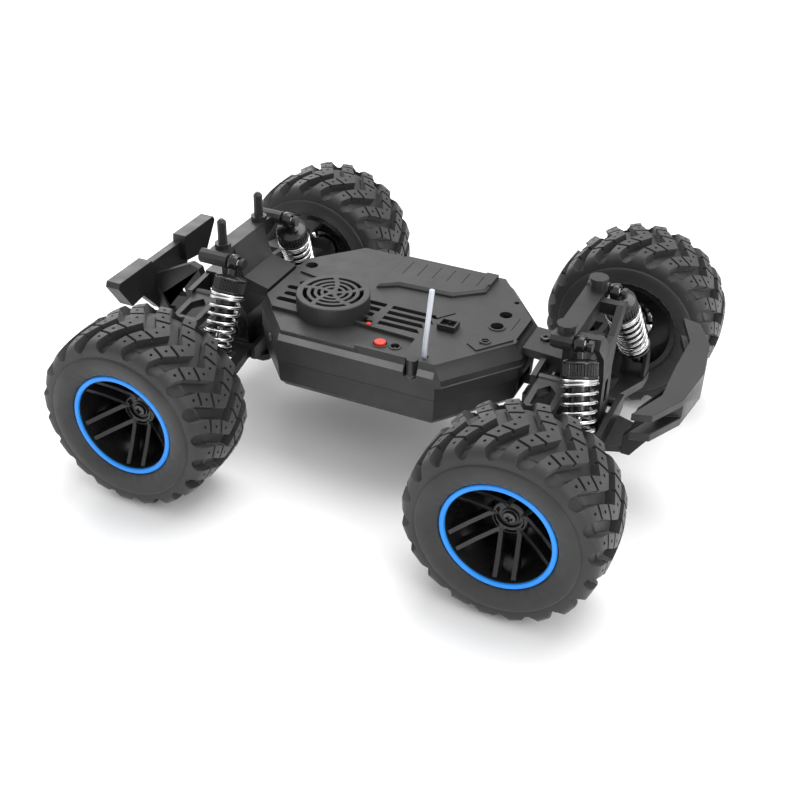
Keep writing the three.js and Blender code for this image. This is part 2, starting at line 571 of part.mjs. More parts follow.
// Lower arm: hinge barrels at both ends of a sloping blade with two windows, and the shock's lugs. The
// shock leans, so its eye slides a little along the cross pin between the lugs.
function lowerArm(foot, lean) {
  const [footX, footY, footZ] = foot;
  const slide = (way) => Math.max(SHOCK_BUMP * lean * way, -SHOCK_DROOP * lean * way);
  const clear = (way) => EYE_WIDTH / 2 + SIDE_PLAY + slide(way);
  const wide = footX + clear(1) + CHEEK + 0.6;
  const end = CARRIER_HALF - GAP - 0.3;
  const blade = sheared(prism('z', [[-BARREL_HALF, ARM_PIVOT_Y + 1], [BARREL_HALF, ARM_PIVOT_Y + 1],
    [BARREL_HALF, ARM_PIVOT_Y + 7], [wide, footY - 8], [wide, footY + 5], [end, HUB_PIVOT_Y - 7],
    [end, HUB_PIVOT_Y], [-end, HUB_PIVOT_Y], [-end, HUB_PIVOT_Y - 7], [-11, footY]],
  -ARM_THICKNESS / 2, ARM_THICKNESS / 2,
  [[[-9, ARM_PIVOT_Y + 9], [-1.8, ARM_PIVOT_Y + 9], [-1.8, footY - 8], [-6.5, footY - 8]],
    [[1.8, ARM_PIVOT_Y + 9], [9, ARM_PIVOT_Y + 9], [9, footY - 12], [1.8, footY - 8]]]), slopeZ);
  const lugs = [-1, 1].map((way) => {
    const x = footX + way * (clear(way) + CHEEK / 2);
    return prism('x', [[footY - 7, slopeZ(footY) - 1], [footY + 7, slopeZ(footY) - 1],
      [footY + 3.4, footZ + 3], [footY - 3.4, footZ + 3]], x - CHEEK / 2, x + CHEEK / 2);
  });
  const cross = rod(PIN_RADIUS, [footX - clear(-1) - 1, footY, footZ], [footX + clear(1) + 1, footY, footZ]);
  const inner = rod(BARREL, [-BARREL_HALF, ARM_PIVOT_Y, ARM_PIVOT_Z],
    [BARREL_HALF, ARM_PIVOT_Y, ARM_PIVOT_Z]);
  const outer = rod(3.2, [-end, HUB_PIVOT_Y, HUB_PIVOT_Z], [end, HUB_PIVOT_Y, HUB_PIVOT_Z]);
  const bores = [rod(PIN_RADIUS + RUN, [-20, ARM_PIVOT_Y, ARM_PIVOT_Z], [20, ARM_PIVOT_Y, ARM_PIVOT_Z]),
    rod(PIN_RADIUS + RUN, [-20, HUB_PIVOT_Y, HUB_PIVOT_Z], [20, HUB_PIVOT_Y, HUB_PIVOT_Z])];
  return cut(join(blade, inner, outer, ...lugs, cross), ...bores);
}

const LINK_HUB_Y = HUB_PIVOT_Y - 2;
const LINK_EYE = [-11.5, -6.5]; // outer eye, along X

// Upper arm: an A with a house-shaped window between its barrel and its outer eye.
function upperArm() {
  const [a, b] = LINK_X;
  const middle = (a + b) / 2;
  const rise = (y) => LINK_PIVOT_Z + ((LINK_HUB_Z - LINK_PIVOT_Z) * (y - LINK_PIVOT_Y))
    / (LINK_HUB_Y - LINK_PIVOT_Y);
  const blade = sheared(prism('z', [[a, LINK_PIVOT_Y + 1], [b, LINK_PIVOT_Y + 1], [b, LINK_PIVOT_Y + 22],
    [LINK_EYE[1], LINK_HUB_Y - 8], [LINK_EYE[1], LINK_HUB_Y - 1], [LINK_EYE[0], LINK_HUB_Y - 1],
    [LINK_EYE[0], LINK_HUB_Y - 8], [a, LINK_PIVOT_Y + 22]], -2.2, 2.2,
  [[[middle, LINK_PIVOT_Y + 6], [b - 3.2, LINK_PIVOT_Y + 11], [b - 3.2, LINK_PIVOT_Y + 23],
    [a + 3.2, LINK_PIVOT_Y + 23], [a + 3.2, LINK_PIVOT_Y + 11]]]), rise);
  const inner = rod(3.4, [a, LINK_PIVOT_Y, LINK_PIVOT_Z], [b, LINK_PIVOT_Y, LINK_PIVOT_Z]);
  const eye = rod(4.4, [LINK_EYE[0], LINK_HUB_Y, LINK_HUB_Z], [LINK_EYE[1], LINK_HUB_Y, LINK_HUB_Z]);
  return cut(join(blade, inner, eye),
    rod(PIN_RADIUS + RUN, [-30, LINK_PIVOT_Y, LINK_PIVOT_Z], [9, LINK_PIVOT_Y, LINK_PIVOT_Z]),
    rod(PIN_RADIUS + 1.1, [-30, LINK_HUB_Y, LINK_HUB_Z], [9, LINK_HUB_Y, LINK_HUB_Z]));
}

const FLANGE = 3;
const EAR_TOP = 43;

// Ears and pin of the lower outer hinge, and the pin of the upper one.
function carrierHinges(flangeTop) {
  const ears = [-1, 1].map((way) => prism('x', [[HUB_PIVOT_Y - 3.5, HUB_PIVOT_Z - 3],
    [HUB_PIVOT_Y + 3.5, HUB_PIVOT_Z - 3], [HUB_PIVOT_Y + 5, EAR_TOP], [HUB_PIVOT_Y - 4.3, EAR_TOP]],
  way > 0 ? CARRIER_HALF : -CARRIER_HALF - CHEEK, way > 0 ? CARRIER_HALF + CHEEK : -CARRIER_HALF));
  const pin = rod(PIN_RADIUS, [-CARRIER_HALF - 1, HUB_PIVOT_Y, HUB_PIVOT_Z],
    [CARRIER_HALF + 1, HUB_PIVOT_Y, HUB_PIVOT_Z]);
  const mast = prism('x', [[LINK_HUB_Y - 3, flangeTop - 1], [LINK_HUB_Y + 7, flangeTop - 1],
    [LINK_HUB_Y + 3, LINK_HUB_Z + 3.5], [LINK_HUB_Y - 3, LINK_HUB_Z + 3.5]], LINK_EYE[1] + GAP,
  LINK_EYE[1] + GAP + 3);
  const stud = rod(PIN_RADIUS, [LINK_EYE[0] - 0.5, LINK_HUB_Y, LINK_HUB_Z],
    [LINK_EYE[1] + 2, LINK_HUB_Y, LINK_HUB_Z]);
  return [...ears, pin, mast, stud];
}

const FLANGE_LOW = 40;
const FLANGE_HIGH = 57;
const KNUCKLE_RADIUS = 6;

// C-hub: two flanges and a back wall around the steering knuckle, with a kingpin stub on each flange.
function cHub() {
  const back = KINGPIN_Y - KNUCKLE_RADIUS - GAP - 2.2;
  const outline = [[-CARRIER_HALF - CHEEK, back], [CARRIER_HALF + CHEEK, back],
    [CARRIER_HALF + CHEEK, KINGPIN_Y + 0.5], [3, KINGPIN_Y + 3.1], [-3, KINGPIN_Y + 3.1],
    [-CARRIER_HALF - CHEEK, KINGPIN_Y + 0.5]];
  const low = prism('z', outline, FLANGE_LOW, EAR_TOP);
  const high = prism('z', outline, FLANGE_HIGH, FLANGE_HIGH + FLANGE);
  const wall = cut(block(-5.5, 5.5, back, back + 2.2, FLANGE_LOW, FLANGE_HIGH + FLANGE),
    rod(SHAFT_RADIUS + 2.2, [0, back - 1, AXLE_Z], [0, back + 5, AXLE_Z]));
  const kingpins = [[EAR_TOP - 1, 46.4], [53.6, FLANGE_HIGH + 1]].map(([a, b]) => rod(PIN_RADIUS,
    [0, KINGPIN_Y, a], [0, KINGPIN_Y, b]));
  return join(low, high, wall, ...kingpins, ...carrierHinges(FLANGE_HIGH + FLANGE));
}

const BEARING_Y = KINGPIN_Y + 4.5;
const BEARING_END = KINGPIN_Y + 12;
const LEVER_X = -15; // tie rod pin, from the kingpin
const LEVER_THICKNESS = 2.8;
const ROD_EYE_Z = FLANGE_LOW;
const ROD_EYE_THICKNESS = 2;
const LEVER_SWEEP = 1.2; // how far the lever's pin moves forward at full lock

function knuckle() {
  const post = rod(KNUCKLE_RADIUS, [0, KINGPIN_Y, EAR_TOP + GAP], [0, KINGPIN_Y, FLANGE_HIGH - GAP]);
  const housing = rod(8.5, [0, BEARING_Y, AXLE_Z], [0, BEARING_END, AXLE_Z]);
  const low = EAR_TOP + GAP;
  const lever = prism('z', [[-2, KINGPIN_Y + 4], [LEVER_X - 2.5, KINGPIN_Y + 2.5],
    [LEVER_X - 2.5, KINGPIN_Y - 2.5], [-2, KINGPIN_Y - 4]], low, low + LEVER_THICKNESS);
  const stud = rod(1.3, [LEVER_X, KINGPIN_Y, low + 1], [LEVER_X, KINGPIN_Y, ROD_EYE_Z - 2]);
  return cut(join(post, housing, lever, stud),
    rod(4.6, [0, KINGPIN_Y - 10, AXLE_Z], [0, BEARING_Y, AXLE_Z]),
    rod(STUB_RADIUS + RUN, [0, KINGPIN_Y, AXLE_Z], [0, BEARING_END + 2, AXLE_Z]),
    rod(PIN_RADIUS + RUN, [0, KINGPIN_Y, EAR_TOP - 2], [0, KINGPIN_Y, FLANGE_HIGH + 2]));
}

function rearCarrier() {
  const body = block(-CARRIER_HALF - CHEEK, CARRIER_HALF + CHEEK, HUB_PIVOT_Y - 4.3, BEARING_Y + 2,
    EAR_TOP - 2.6, FLANGE_HIGH + FLANGE);
  const housing = rod(8.5, [0, BEARING_Y, AXLE_Z], [0, BEARING_END, AXLE_Z]);
  return cut(join(body, housing, ...carrierHinges(FLANGE_HIGH + FLANGE)),
    rod(5, [0, HUB_PIVOT_Y - 10, AXLE_Z], [0, BEARING_Y, AXLE_Z]),
    rod(STUB_RADIUS + RUN, [0, KINGPIN_Y, AXLE_Z], [0, BEARING_END + 2, AXLE_Z]));
}

// Half shaft with a ball at each end; the outer ball lies on the kingpin axis.
function halfShaft() {
  const ball = new THREE.SphereGeometry(3, 10, 6).translate(0, KINGPIN_Y, AXLE_Z);
  return join(rod(SHAFT_RADIUS, [0, HALF_SHAFT_INNER_Y, AXLE_Z], [0, KINGPIN_Y, AXLE_Z]), ball);
}

// Tie rod from beside the bell crank's tongue out to a slotted eye on the pin of the knuckle's lever.
function tieRod() {
  const inner = [ROD_X - 1.5, 11, ROD_Z];
  const knee = [LEVER_X - 2.5, KINGPIN_Y - 14, ROD_EYE_Z];
  const z0 = ROD_EYE_Z - ROD_EYE_THICKNESS / 2;
  const z1 = ROD_EYE_Z + ROD_EYE_THICKNESS / 2;
  const slot = (radius, low, high) => join(
    rod(radius, [LEVER_X, KINGPIN_Y, low], [LEVER_X, KINGPIN_Y, high]),
    rod(radius, [LEVER_X + LEVER_SWEEP, KINGPIN_Y, low], [LEVER_X + LEVER_SWEEP, KINGPIN_Y, high]));
  const shape = join(rod(1.5, inner, knee), rod(1.5, knee, [LEVER_X - 1, KINGPIN_Y - 2, ROD_EYE_Z]),
    new THREE.SphereGeometry(1.5, 8, 6).translate(...knee),
    rod(2.6, inner, [inner[0], inner[1] + 4.6, inner[2]]), slot(4.2, z0, z1));
  return cut(shape, slot(2.9, z0 - 2, z1 + 2));
}

// ---------------------------------------------------------------- wheels, about their own centre, outward +Y
const DISC_Y = 2.2;
const LIP_Y = RIM_DEPTH / 2;
const SPOKE_PAIRS = 5;
const RIM_SIDES = 20;

function rim() {
  const r = RIM_RADIUS;
  const inner = r - RIM_WALL;
  const barrel = turned([[r, -LIP_Y], [r, LIP_Y], [inner, LIP_Y], [inner - 0.8, -LIP_Y + 3],
    [inner - 0.8, -LIP_Y], [r, -LIP_Y]], RIM_SIDES, 'y');
  // Five pairs of thin spokes: each slot narrow between the two of a pair, wide between pairs.
  const slot = (angle, half) => {
    const at = (radius, turn) => [radius * Math.sin(angle + turn), radius * Math.cos(angle + turn)];
    return [at(HUB_RADIUS + 2.5, -half * 0.75), at(inner - 2, -half),
      at(inner - 2, half), at(HUB_RADIUS + 2.5, half * 0.75)];
  };
  const slots = Array.from({ length: SPOKE_PAIRS }, (_, i) => (i * 2 * Math.PI) / SPOKE_PAIRS)
    .flatMap((angle) => [slot(angle, 0.40), slot(angle + Math.PI / SPOKE_PAIRS, 0.075)]);
  // The spokes are cut from a dish that slopes outward from the hub to the lip.
  const dish = turned([[0, DISC_Y], [HUB_RADIUS, DISC_Y], [inner + 1, LIP_Y - 6], [inner + 1, LIP_Y - 2.5],
    [HUB_RADIUS, DISC_Y + 4], [0, DISC_Y + 4]], RIM_SIDES, 'y');
  const spokes = cut(dish, ...slots.map((outline) => prism('y', outline, DISC_Y - 2, LIP_Y)));
  const hub = rod(HUB_RADIUS, [0, DISC_Y - 4, 0], [0, DISC_Y + 4.6, 0]);
  const stub = rod(STUB_RADIUS, [0, BEARING_Y - WHEEL_Y + 1, 0], [0, DISC_Y, 0]);
  const nut = rod(3.2, [0, DISC_Y + 4, 0], [0, DISC_Y + 5.8, 0], 3.2, 6);
  return join(barrel, spokes, hub, stub, nut);
}

function rimRing() {
  const [back, front, inner] = [LIP_Y + GAP, LIP_Y + GAP + RING_THICKNESS, RIM_RADIUS - RIM_WALL];
  return turned([[RIM_RADIUS, back], [RIM_RADIUS, front], [inner, front], [inner, back],
    [RIM_RADIUS, back]], RIM_SIDES, 'y');
}

// Tyre: a hollow carcass, open at the bore between its beads. The flat between two corners of the
// turned outline is what stands on the ground.
const TYRE_SIDES = 24;
const TYRE_WALL = 3.4;
function tyre() {
  const half = TYRE_WIDTH / 2;
  const crown = TYRE_RADIUS / Math.cos(Math.PI / TYRE_SIDES);
  const bore = RIM_RADIUS + GAP;
  const outside = [[bore, half - 3.2], [bore + 9, half], [crown - 4, half - 3.5], [crown, half - 9]];
  const inside = [[bore, half - 3.2 - TYRE_WALL - 2], [bore + 9, half - TYRE_WALL],
    [crown - TYRE_WALL - 1, half - 9]];
  const below = (points) => points.map(([r, y]) => [r, -y]);
  const profile = [...below(outside), ...outside.toReversed(), ...inside, ...below(inside).toReversed()];
  return turned([...profile, profile[0]], TYRE_SIDES, 'y').rotateY(Math.PI / TYRE_SIDES);
}

// ---------------------------------------------------------------- shocks, hanging down -Z from the top eye
const CAP = { top: -8, bottom: -16.5, radius: 9 };

function shockBody(length) {
  const end = SHOCK_STROKE - length;
  const eye = rod(4.3, [-EYE_WIDTH / 2, 0, 0], [EYE_WIDTH / 2, 0, 0]);
  const neck = rod(2.4, [0, 0, -2.6], [0, 0, CAP.top - 1]);
  const cap = rod(CAP.radius, [0, 0, CAP.top], [0, 0, CAP.bottom]);
  const barrel = rod(5.4, [0, 0, CAP.bottom + 1], [0, 0, end]);
  return cut(join(eye, neck, cap, barrel), rod(PIN_RADIUS + 1.1, [-5, 0, 0], [5, 0, 0]),
    rod(PIN_RADIUS + RUN, [0, 0, CAP.bottom + 2], [0, 0, end - 1]));
}

const SEAT = 9.5; // from the lower eye up to the spring's seat

function shockRod(length) {
  const stem = rod(PIN_RADIUS, [0, 0, SHOCK_STROKE + 10 - length], [0, 0, -length + 6]);
  const seat = rod(8.6, [0, 0, -length + SEAT - 2], [0, 0, -length + SEAT]);
  const foot = rod(2.4, [0, 0, -length + 2.6], [0, 0, -length + SEAT - 1]);
  const eye = rod(4.4, [-EYE_WIDTH / 2, 0, -length], [EYE_WIDTH / 2, 0, -length]);
  return cut(join(stem, seat, foot, eye), rod(PIN_RADIUS + 1.1, [-5, 0, -length], [5, 0, -length]));
}

class Coil extends THREE.Curve {
  constructor(top, bottom) {
    super();
    this.top = top;
    this.bottom = bottom;
  }

  getPoint(t, target = new THREE.Vector3()) {
    const angle = t * SPRING_TURNS * 2 * Math.PI;
    return target.set(SPRING_RADIUS * Math.cos(angle), SPRING_RADIUS * Math.sin(angle),
      this.top + (this.bottom - this.top) * t);
  }
}

function shockSpring(length) {
  const wire = new THREE.Shape(circle(0, 0, SPRING_WIRE, 4).map((p) => new THREE.Vector2(...p)));
  const clear = SPRING_WIRE + GAP;
  return new THREE.ExtrudeGeometry(wire, {
    steps: SPRING_TURNS * 7, extrudePath: new Coil(CAP.bottom - clear, -length + SEAT + clear),
  });
}

// ---------------------------------------------------------------- the four corners
for (const [end, group, tag] of [['front', frontEnd, 'f'], ['rear', rearEnd, 'r']]) {
  const head = [SHOCK_HEAD_X[end], SHOCK_EYE_Y, SHOCK_EYE_Z];
  const footY = ARM_PIVOT_Y + SHOCK_FOOT_SHARE[end] * (HUB_PIVOT_Y - ARM_PIVOT_Y);
  const foot = [SHOCK_FOOT_X[end], footY, SHOCK_FOOT_Z[end]];
  const length = new THREE.Vector3(...head).distanceTo(new THREE.Vector3(...foot));
  const lean = (head[0] - foot[0]) / length;
  for (const [side, letter] of [[1, 'l'], [-1, 'r']]) {
    const id = tag + letter;
    const sided = (geometry) => (side > 0 ? geometry : flipped(geometry));
    const at = (x, y, z) => [x, side * y, z];
    const armPivot = at(0, ARM_PIVOT_Y, ARM_PIVOT_Z);
    add(group, `lower_arm_${id}`, sided(lowerArm(foot, lean)), satinBlack(), armPivot);
    add(group, `upper_arm_${id}`, sided(upperArm()), satinBlack(), at(0, LINK_PIVOT_Y, LINK_PIVOT_Z));
    if (end === 'front') {
      add(group, `c_hub_${id}`, sided(cHub()), deepBlack(), at(0, HUB_PIVOT_Y, HUB_PIVOT_Z));
      add(group, `knuckle_${id}`, sided(knuckle()), satinBlack(), at(0, KINGPIN_Y, AXLE_Z));
      add(group, `tie_rod_${id}`, sided(tieRod()), deepBlack(), at(LEVER_X, KINGPIN_Y, ROD_EYE_Z));
    } else {
      add(group, `carrier_${id}`, sided(rearCarrier()), deepBlack(), at(0, HUB_PIVOT_Y, HUB_PIVOT_Z));
    }
    add(group, `half_shaft_${id}`, sided(halfShaft()), steel(), at(0, KINGPIN_Y, AXLE_Z));

    const wheel = new THREE.Group();
    wheel.position.set(...at(0, WHEEL_Y, AXLE_Z));
    wheel.rotation.z = side > 0 ? 0 : Math.PI;
    group.add(wheel);
    add(wheel, `rim_${id}`, rim(), deepBlack());
    add(wheel, `rim_ring_${id}`, rimRing(), blue());
    add(wheel, `tyre_${id}`, tyre(), rubber());

    const shock = new THREE.Group();
    shock.position.set(...at(...head));
    const down = new THREE.Vector3(foot[0] - head[0], side * (foot[1] - head[1]), foot[2] - head[2]);
    shock.quaternion.setFromUnitVectors(new THREE.Vector3(0, 0, -1), down.normalize());
    group.add(shock);
    add(shock, `shock_body_${id}`, shockBody(length), satinBlack());
    add(shock, `shock_rod_${id}`, shockRod(length), deepBlack());
    add(shock, `shock_spring_${id}`, shockSpring(length), chrome());
  }
}

truck.position.z = TYRE_RADIUS - AXLE_Z;

export default truck;
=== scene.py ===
import json
import math

import bmesh
import bpy
from mathutils import Matrix, Vector


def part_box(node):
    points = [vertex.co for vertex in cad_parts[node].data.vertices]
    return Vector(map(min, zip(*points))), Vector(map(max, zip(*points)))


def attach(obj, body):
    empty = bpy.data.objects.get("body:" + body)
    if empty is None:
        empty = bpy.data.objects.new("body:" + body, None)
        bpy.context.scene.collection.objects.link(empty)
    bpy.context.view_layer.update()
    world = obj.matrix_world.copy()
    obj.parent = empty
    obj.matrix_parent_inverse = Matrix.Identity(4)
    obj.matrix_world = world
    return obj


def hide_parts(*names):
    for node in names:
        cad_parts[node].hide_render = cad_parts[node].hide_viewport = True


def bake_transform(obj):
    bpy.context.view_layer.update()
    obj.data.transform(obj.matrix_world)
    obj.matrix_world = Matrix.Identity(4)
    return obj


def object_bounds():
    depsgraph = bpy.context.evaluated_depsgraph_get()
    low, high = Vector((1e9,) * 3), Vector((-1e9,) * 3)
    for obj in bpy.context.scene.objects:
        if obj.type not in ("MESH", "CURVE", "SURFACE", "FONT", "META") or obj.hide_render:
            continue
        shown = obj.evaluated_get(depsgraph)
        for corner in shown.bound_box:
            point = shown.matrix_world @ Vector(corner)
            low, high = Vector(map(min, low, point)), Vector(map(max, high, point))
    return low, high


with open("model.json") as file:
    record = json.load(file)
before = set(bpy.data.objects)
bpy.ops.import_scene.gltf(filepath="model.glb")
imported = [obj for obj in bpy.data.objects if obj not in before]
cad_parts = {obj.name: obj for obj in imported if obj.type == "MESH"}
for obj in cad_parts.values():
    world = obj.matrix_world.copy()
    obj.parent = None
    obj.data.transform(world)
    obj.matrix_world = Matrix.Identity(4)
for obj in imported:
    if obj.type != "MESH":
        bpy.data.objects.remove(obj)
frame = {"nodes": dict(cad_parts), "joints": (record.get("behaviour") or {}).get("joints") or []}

cad_low, cad_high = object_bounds()

# ---------------------------------------------------------------- shape building, in millimetres
MM = 0.001
WELD, NEEDLE = 0.004, 0.001  # points closer than WELD join, edges under NEEDLE go
SMOOTH_ANGLE = 38
SIDES = (("l", 1), ("r", -1))
CORNERS = [(end + letter, side) for end in "fr" for letter, side in SIDES]


def box_mm(node):
    low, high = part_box(node)
    return low / MM, high / MM


def middle(node):
    low, high = box_mm(node)
    return (low + high) / 2


class Part:
    """The faces of one piece, in millimetres."""

    def __init__(self):
        self.points, self.faces = [], []

    def add(self, points, faces):
        first = len(self.points)
        self.points += [Vector(p) for p in points]
        self.faces += [[first + i for i in face] for face in faces]
        return self

    def grid(self, rows, around=False, ends=False, closed=False):
        """Quads between rows of points. around closes each row, closed joins the last row to the first."""
        n, m = len(rows[0]), len(rows)
        faces = [[k * n + i, k * n + (i + 1) % n, (k + 1) % m * n + (i + 1) % n, (k + 1) % m * n + i]
                 for k in range(m if closed else m - 1) for i in range(n if around else n - 1)]
        if ends:
            faces += [list(range(n)), [(m - 1) * n + i for i in range(n)]]
        return self.add([p for row in rows for p in row], faces)

    def prism(self, axis, outline, low, high):
        """A flat outline pushed along an axis. Its points are (y, z), (x, z) or (x, y)."""
        place = {"x": lambda a, b, c: (c, a, b), "y": lambda a, b, c: (a, c, b),
                 "z": lambda a, b, c: (a, b, c)}[axis]
        return self.grid([[place(a, b, c) for a, b in outline] for c in (low, high)], True, True)

    def block(self, x, y, z):
        return self.prism("z", [(x[0], y[0]), (x[1], y[0]), (x[1], y[1]), (x[0], y[1])], *z)

    def turned(self, profile, start=(0, 0, 0), along=(0, 0, 1), sides=32, closed=False):
        """(radius, distance) points turned about a line."""
        spin = Vector(along).to_track_quat("Z", "Y").to_matrix()
        rows = [[Vector(start) + spin @ Vector((r * math.cos(2 * math.pi * i / sides),
                                                r * math.sin(2 * math.pi * i / sides), d))
                 for i in range(sides)] for r, d in profile]
        return self.grid(rows, True, not closed, closed)

    def rod(self, radius, start, end, sides=24):
        way = Vector(end) - Vector(start)
        return self.turned([(radius, 0), (radius, way.length)], start, way, sides)

    def ring(self, outer, inner, start, along, height, sides=48):
        return self.turned([(inner, 0), (outer, 0), (outer, height), (inner, height)],
                           start, along, sides, True)

    def tube(self, path, radius, sides=8):
        """A round bar along a path."""
        path = [Vector(p) for p in path]
        rows, across = [], None
        for i, p in enumerate(path):
            way = (path[min(i + 1, len(path) - 1)] - path[max(i - 1, 0)]).normalized()
            if across is None:
                across = way.orthogonal().normalized()
            across = (across - way * across.dot(way)).normalized()
            other = way.cross(across)
            rows.append([p + (across * math.cos(a) + other * math.sin(a)) * radius
                         for a in (2 * math.pi * k / sides for k in range(sides))])
        return self.grid(rows, True, True)

    def join(self, other, matrix=None):
        return self.add([matrix @ p if matrix else p for p in other.points], other.faces)

    def placed(self, matrix):
        self.points = [matrix @ p for p in self.points]
        return self

    def mirrored(self):
        return Part().add([(x, -y, z) for x, y, z in self.points], self.faces)


def on_side(part, side):
    return part if side > 0 else part.mirrored()


def mesh_of(name, part):
    mesh = bpy.data.meshes.new(name)
    bm = bmesh.new()
    verts = [bm.verts.new(p * MM) for p in part.points]
    for face in part.faces:
        try:
            bm.faces.new([verts[i] for i in face])
        except ValueError:  # the same face twice
            pass
    bmesh.ops.remove_doubles(bm, verts=bm.verts, dist=WELD * MM)
    bmesh.ops.dissolve_degenerate(bm, edges=bm.edges, dist=NEEDLE * MM)
    bmesh.ops.recalc_face_normals(bm, faces=bm.faces)
    bm.to_mesh(mesh)
    bm.free()
    return mesh


def smooth(obj, angle):
    for polygon in obj.data.polygons:
        polygon.use_smooth = True
    obj.data.set_sharp_from_angle(angle=math.radians(angle))


def soften(obj, width, angle, segments=2):
    bevel = obj.modifiers.new("edges", "BEVEL")
    bevel.width, bevel.segments = width * MM, segments
    bevel.limit_method, bevel.angle_limit = "ANGLE", math.radians(angle)
    bevel.use_clamp_overlap = True
    bevel.harden_normals = True


def piece(name, part, material, body=None, replaces=(), bevel=0.25, at=None,
          angle=SMOOTH_ANGLE):
    """One piece of the visual model, riding on a body. Edges sharper than angle get the bevel."""
    mesh = part if isinstance(part, bpy.types.Mesh) else mesh_of(name, part)
    obj = bpy.data.objects.new(name, mesh)
    bpy.context.scene.collection.objects.link(obj)
    obj.data.materials.clear()
    obj.data.materials.append(material)
    if at is not None:
        obj.location = Vector(at) * MM
    smooth(obj, angle)
    if bevel:
        soften(obj, bevel, angle)
    if body:
        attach(obj, body)
    if replaces:
        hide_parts(*replaces)
    return obj


def carved(name, solid, cutters):
    """The mesh of a solid with cutters taken out of it."""
    body = bpy.data.objects.new(name, mesh_of(name, solid))
    tool = bpy.data.objects.new(name + "_tool", mesh_of(name + "_tool", cutters))
    for obj in (body, tool):
        bpy.context.scene.collection.objects.link(obj)
    cut = body.modifiers.new("cut", "BOOLEAN")
    cut.operation, cut.object, cut.solver, cut.use_self = "DIFFERENCE", tool, "EXACT", True
    flat = body.modifiers.new("flat", "DECIMATE")
    flat.decimate_type, flat.angle_limit = "DISSOLVE", math.radians(1)
    bpy.context.view_layer.update()
    shape = body.evaluated_get(bpy.context.evaluated_depsgraph_get())
    mesh = bpy.data.meshes.new_from_object(shape)
    for obj in (body, tool):
        bpy.data.objects.remove(obj)
    mesh.name = name
    return mesh


# ---------------------------------------------------------------- materials
RELIEF_DEPTH = 0.00008
PLASTIC_IOR = 1.5
NOISE_LOW, NOISE_HIGH = 0.3, 0.7  # the part of a noise's range that colours and gloss are spread over
GLOSS_SPOTS = 2.7  # spots of gloss for each spot of colour


def surface(name, low, high, rough, grain=900.0, bump=0.12, spots=40.0, metallic=0.0, sheen=0.0,
            transmission=0.0):
    """A finish whose colour, gloss and relief vary by noise; low and high are its colours."""
    material = bpy.data.materials.new(name)
    material.use_nodes = True
    nodes, links = material.node_tree.nodes, material.node_tree.links
    shader = nodes["Principled BSDF"]
    where = nodes.new("ShaderNodeTexCoord")

    def pattern(scale, detail):
        made = nodes.new("ShaderNodeTexNoise")
        made.inputs["Scale"].default_value = scale
        made.inputs["Detail"].default_value = detail
        links.new(where.outputs["Object"], made.inputs["Vector"])
        return made.outputs["Fac"]

    blotches, fine = pattern(spots, 6), pattern(grain, 3)
    colour = nodes.new("ShaderNodeValToRGB")
    colour.color_ramp.elements[0].position = NOISE_LOW
    colour.color_ramp.elements[1].position = NOISE_HIGH
    colour.color_ramp.elements[0].color = (*low, 1)
    colour.color_ramp.elements[1].color = (*high, 1)
    links.new(blotches, colour.inputs["Fac"])
    links.new(colour.outputs["Color"], shader.inputs["Base Color"])
    gloss = nodes.new("ShaderNodeMapRange")
    gloss.inputs["From Min"].default_value = NOISE_LOW
    gloss.inputs["From Max"].default_value = NOISE_HIGH
    gloss.inputs["To Min"].default_value = rough[0]
    gloss.inputs["To Max"].default_value = rough[1]
    links.new(pattern(spots * GLOSS_SPOTS, 8), gloss.inputs["Value"])
    links.new(gloss.outputs["Result"], shader.inputs["Roughness"])
    relief = nodes.new("ShaderNodeBump")
    relief.inputs["Strength"].default_value = bump
    relief.inputs["Distance"].default_value = RELIEF_DEPTH
    links.new(fine, relief.inputs["Height"])
    links.new(relief.outputs["Normal"], shader.inputs["Normal"])
    shader.inputs["Metallic"].default_value = metallic
    shader.inputs["Sheen Weight"].default_value = sheen
    shader.inputs["Transmission Weight"].default_value = transmission
    shader.inputs["IOR"].default_value = PLASTIC_IOR
    return material


def grey(value, tint=0.0):
    return (value, value * (1 + tint / 2), value * (1 + tint))


SATIN = surface("satin_black_plastic", grey(0.009), grey(0.015, 0.03), (0.38, 0.52), bump=0.35)
COVER = surface("cover_plastic", grey(0.015), grey(0.022, 0.03), (0.44, 0.56), bump=0.5)
DEEP = surface("deep_black_plastic", grey(0.008), grey(0.013), (0.3, 0.45), bump=0.2)
GLOSS = surface("gloss_black_plastic", grey(0.006), grey(0.01), (0.16, 0.28), bump=0.1)
RUBBER = surface("tyre_rubber", grey(0.008), grey(0.016, 0.04), (0.48, 0.68), grain=1500, bump=0.5,
                 spots=25, sheen=0.15)
BLUE = surface("blue_ring", (0.006, 0.22, 0.74), (0.01, 0.27, 0.82), (0.3, 0.42), bump=0.15)
CHROME = surface("chrome_wire", grey(0.62), grey(0.75, 0.02), (0.1, 0.22), bump=0.05, metallic=1.0)
STEEL = surface("shaft_steel", grey(0.28), grey(0.4, 0.02), (0.25, 0.4), bump=0.1, metallic=1.0)
SCREW = surface("dark_screw", grey(0.05), grey(0.09), (0.22, 0.36), bump=0.1, metallic=0.9)
RED = surface("red_button", (0.5, 0.02, 0.012), (0.62, 0.04, 0.018), (0.35, 0.5), bump=0.1)
WHITE = surface("antenna_plastic", (0.62, 0.65, 0.72), (0.74, 0.77, 0.83), (0.35, 0.5), bump=0.1,
                transmission=0.25)
# The edge strip's light grey colour is a painted highlight on its slope; only the fine relief is its own
# surface.
PAINTED_HIGHLIGHT_STRIP = surface("strip_painted_highlight", grey(0.1), grey(0.15), (0.45, 0.6), grain=2500, bump=0.7)
HATCHED = surface("fine_black_grip", grey(0.006), grey(0.02), (0.5, 0.7), grain=3500, bump=0.9,
                  spots=900)
MOTOR = surface("motor_can", grey(0.4), grey(0.5), (0.3, 0.45), bump=0.1, metallic=0.9)
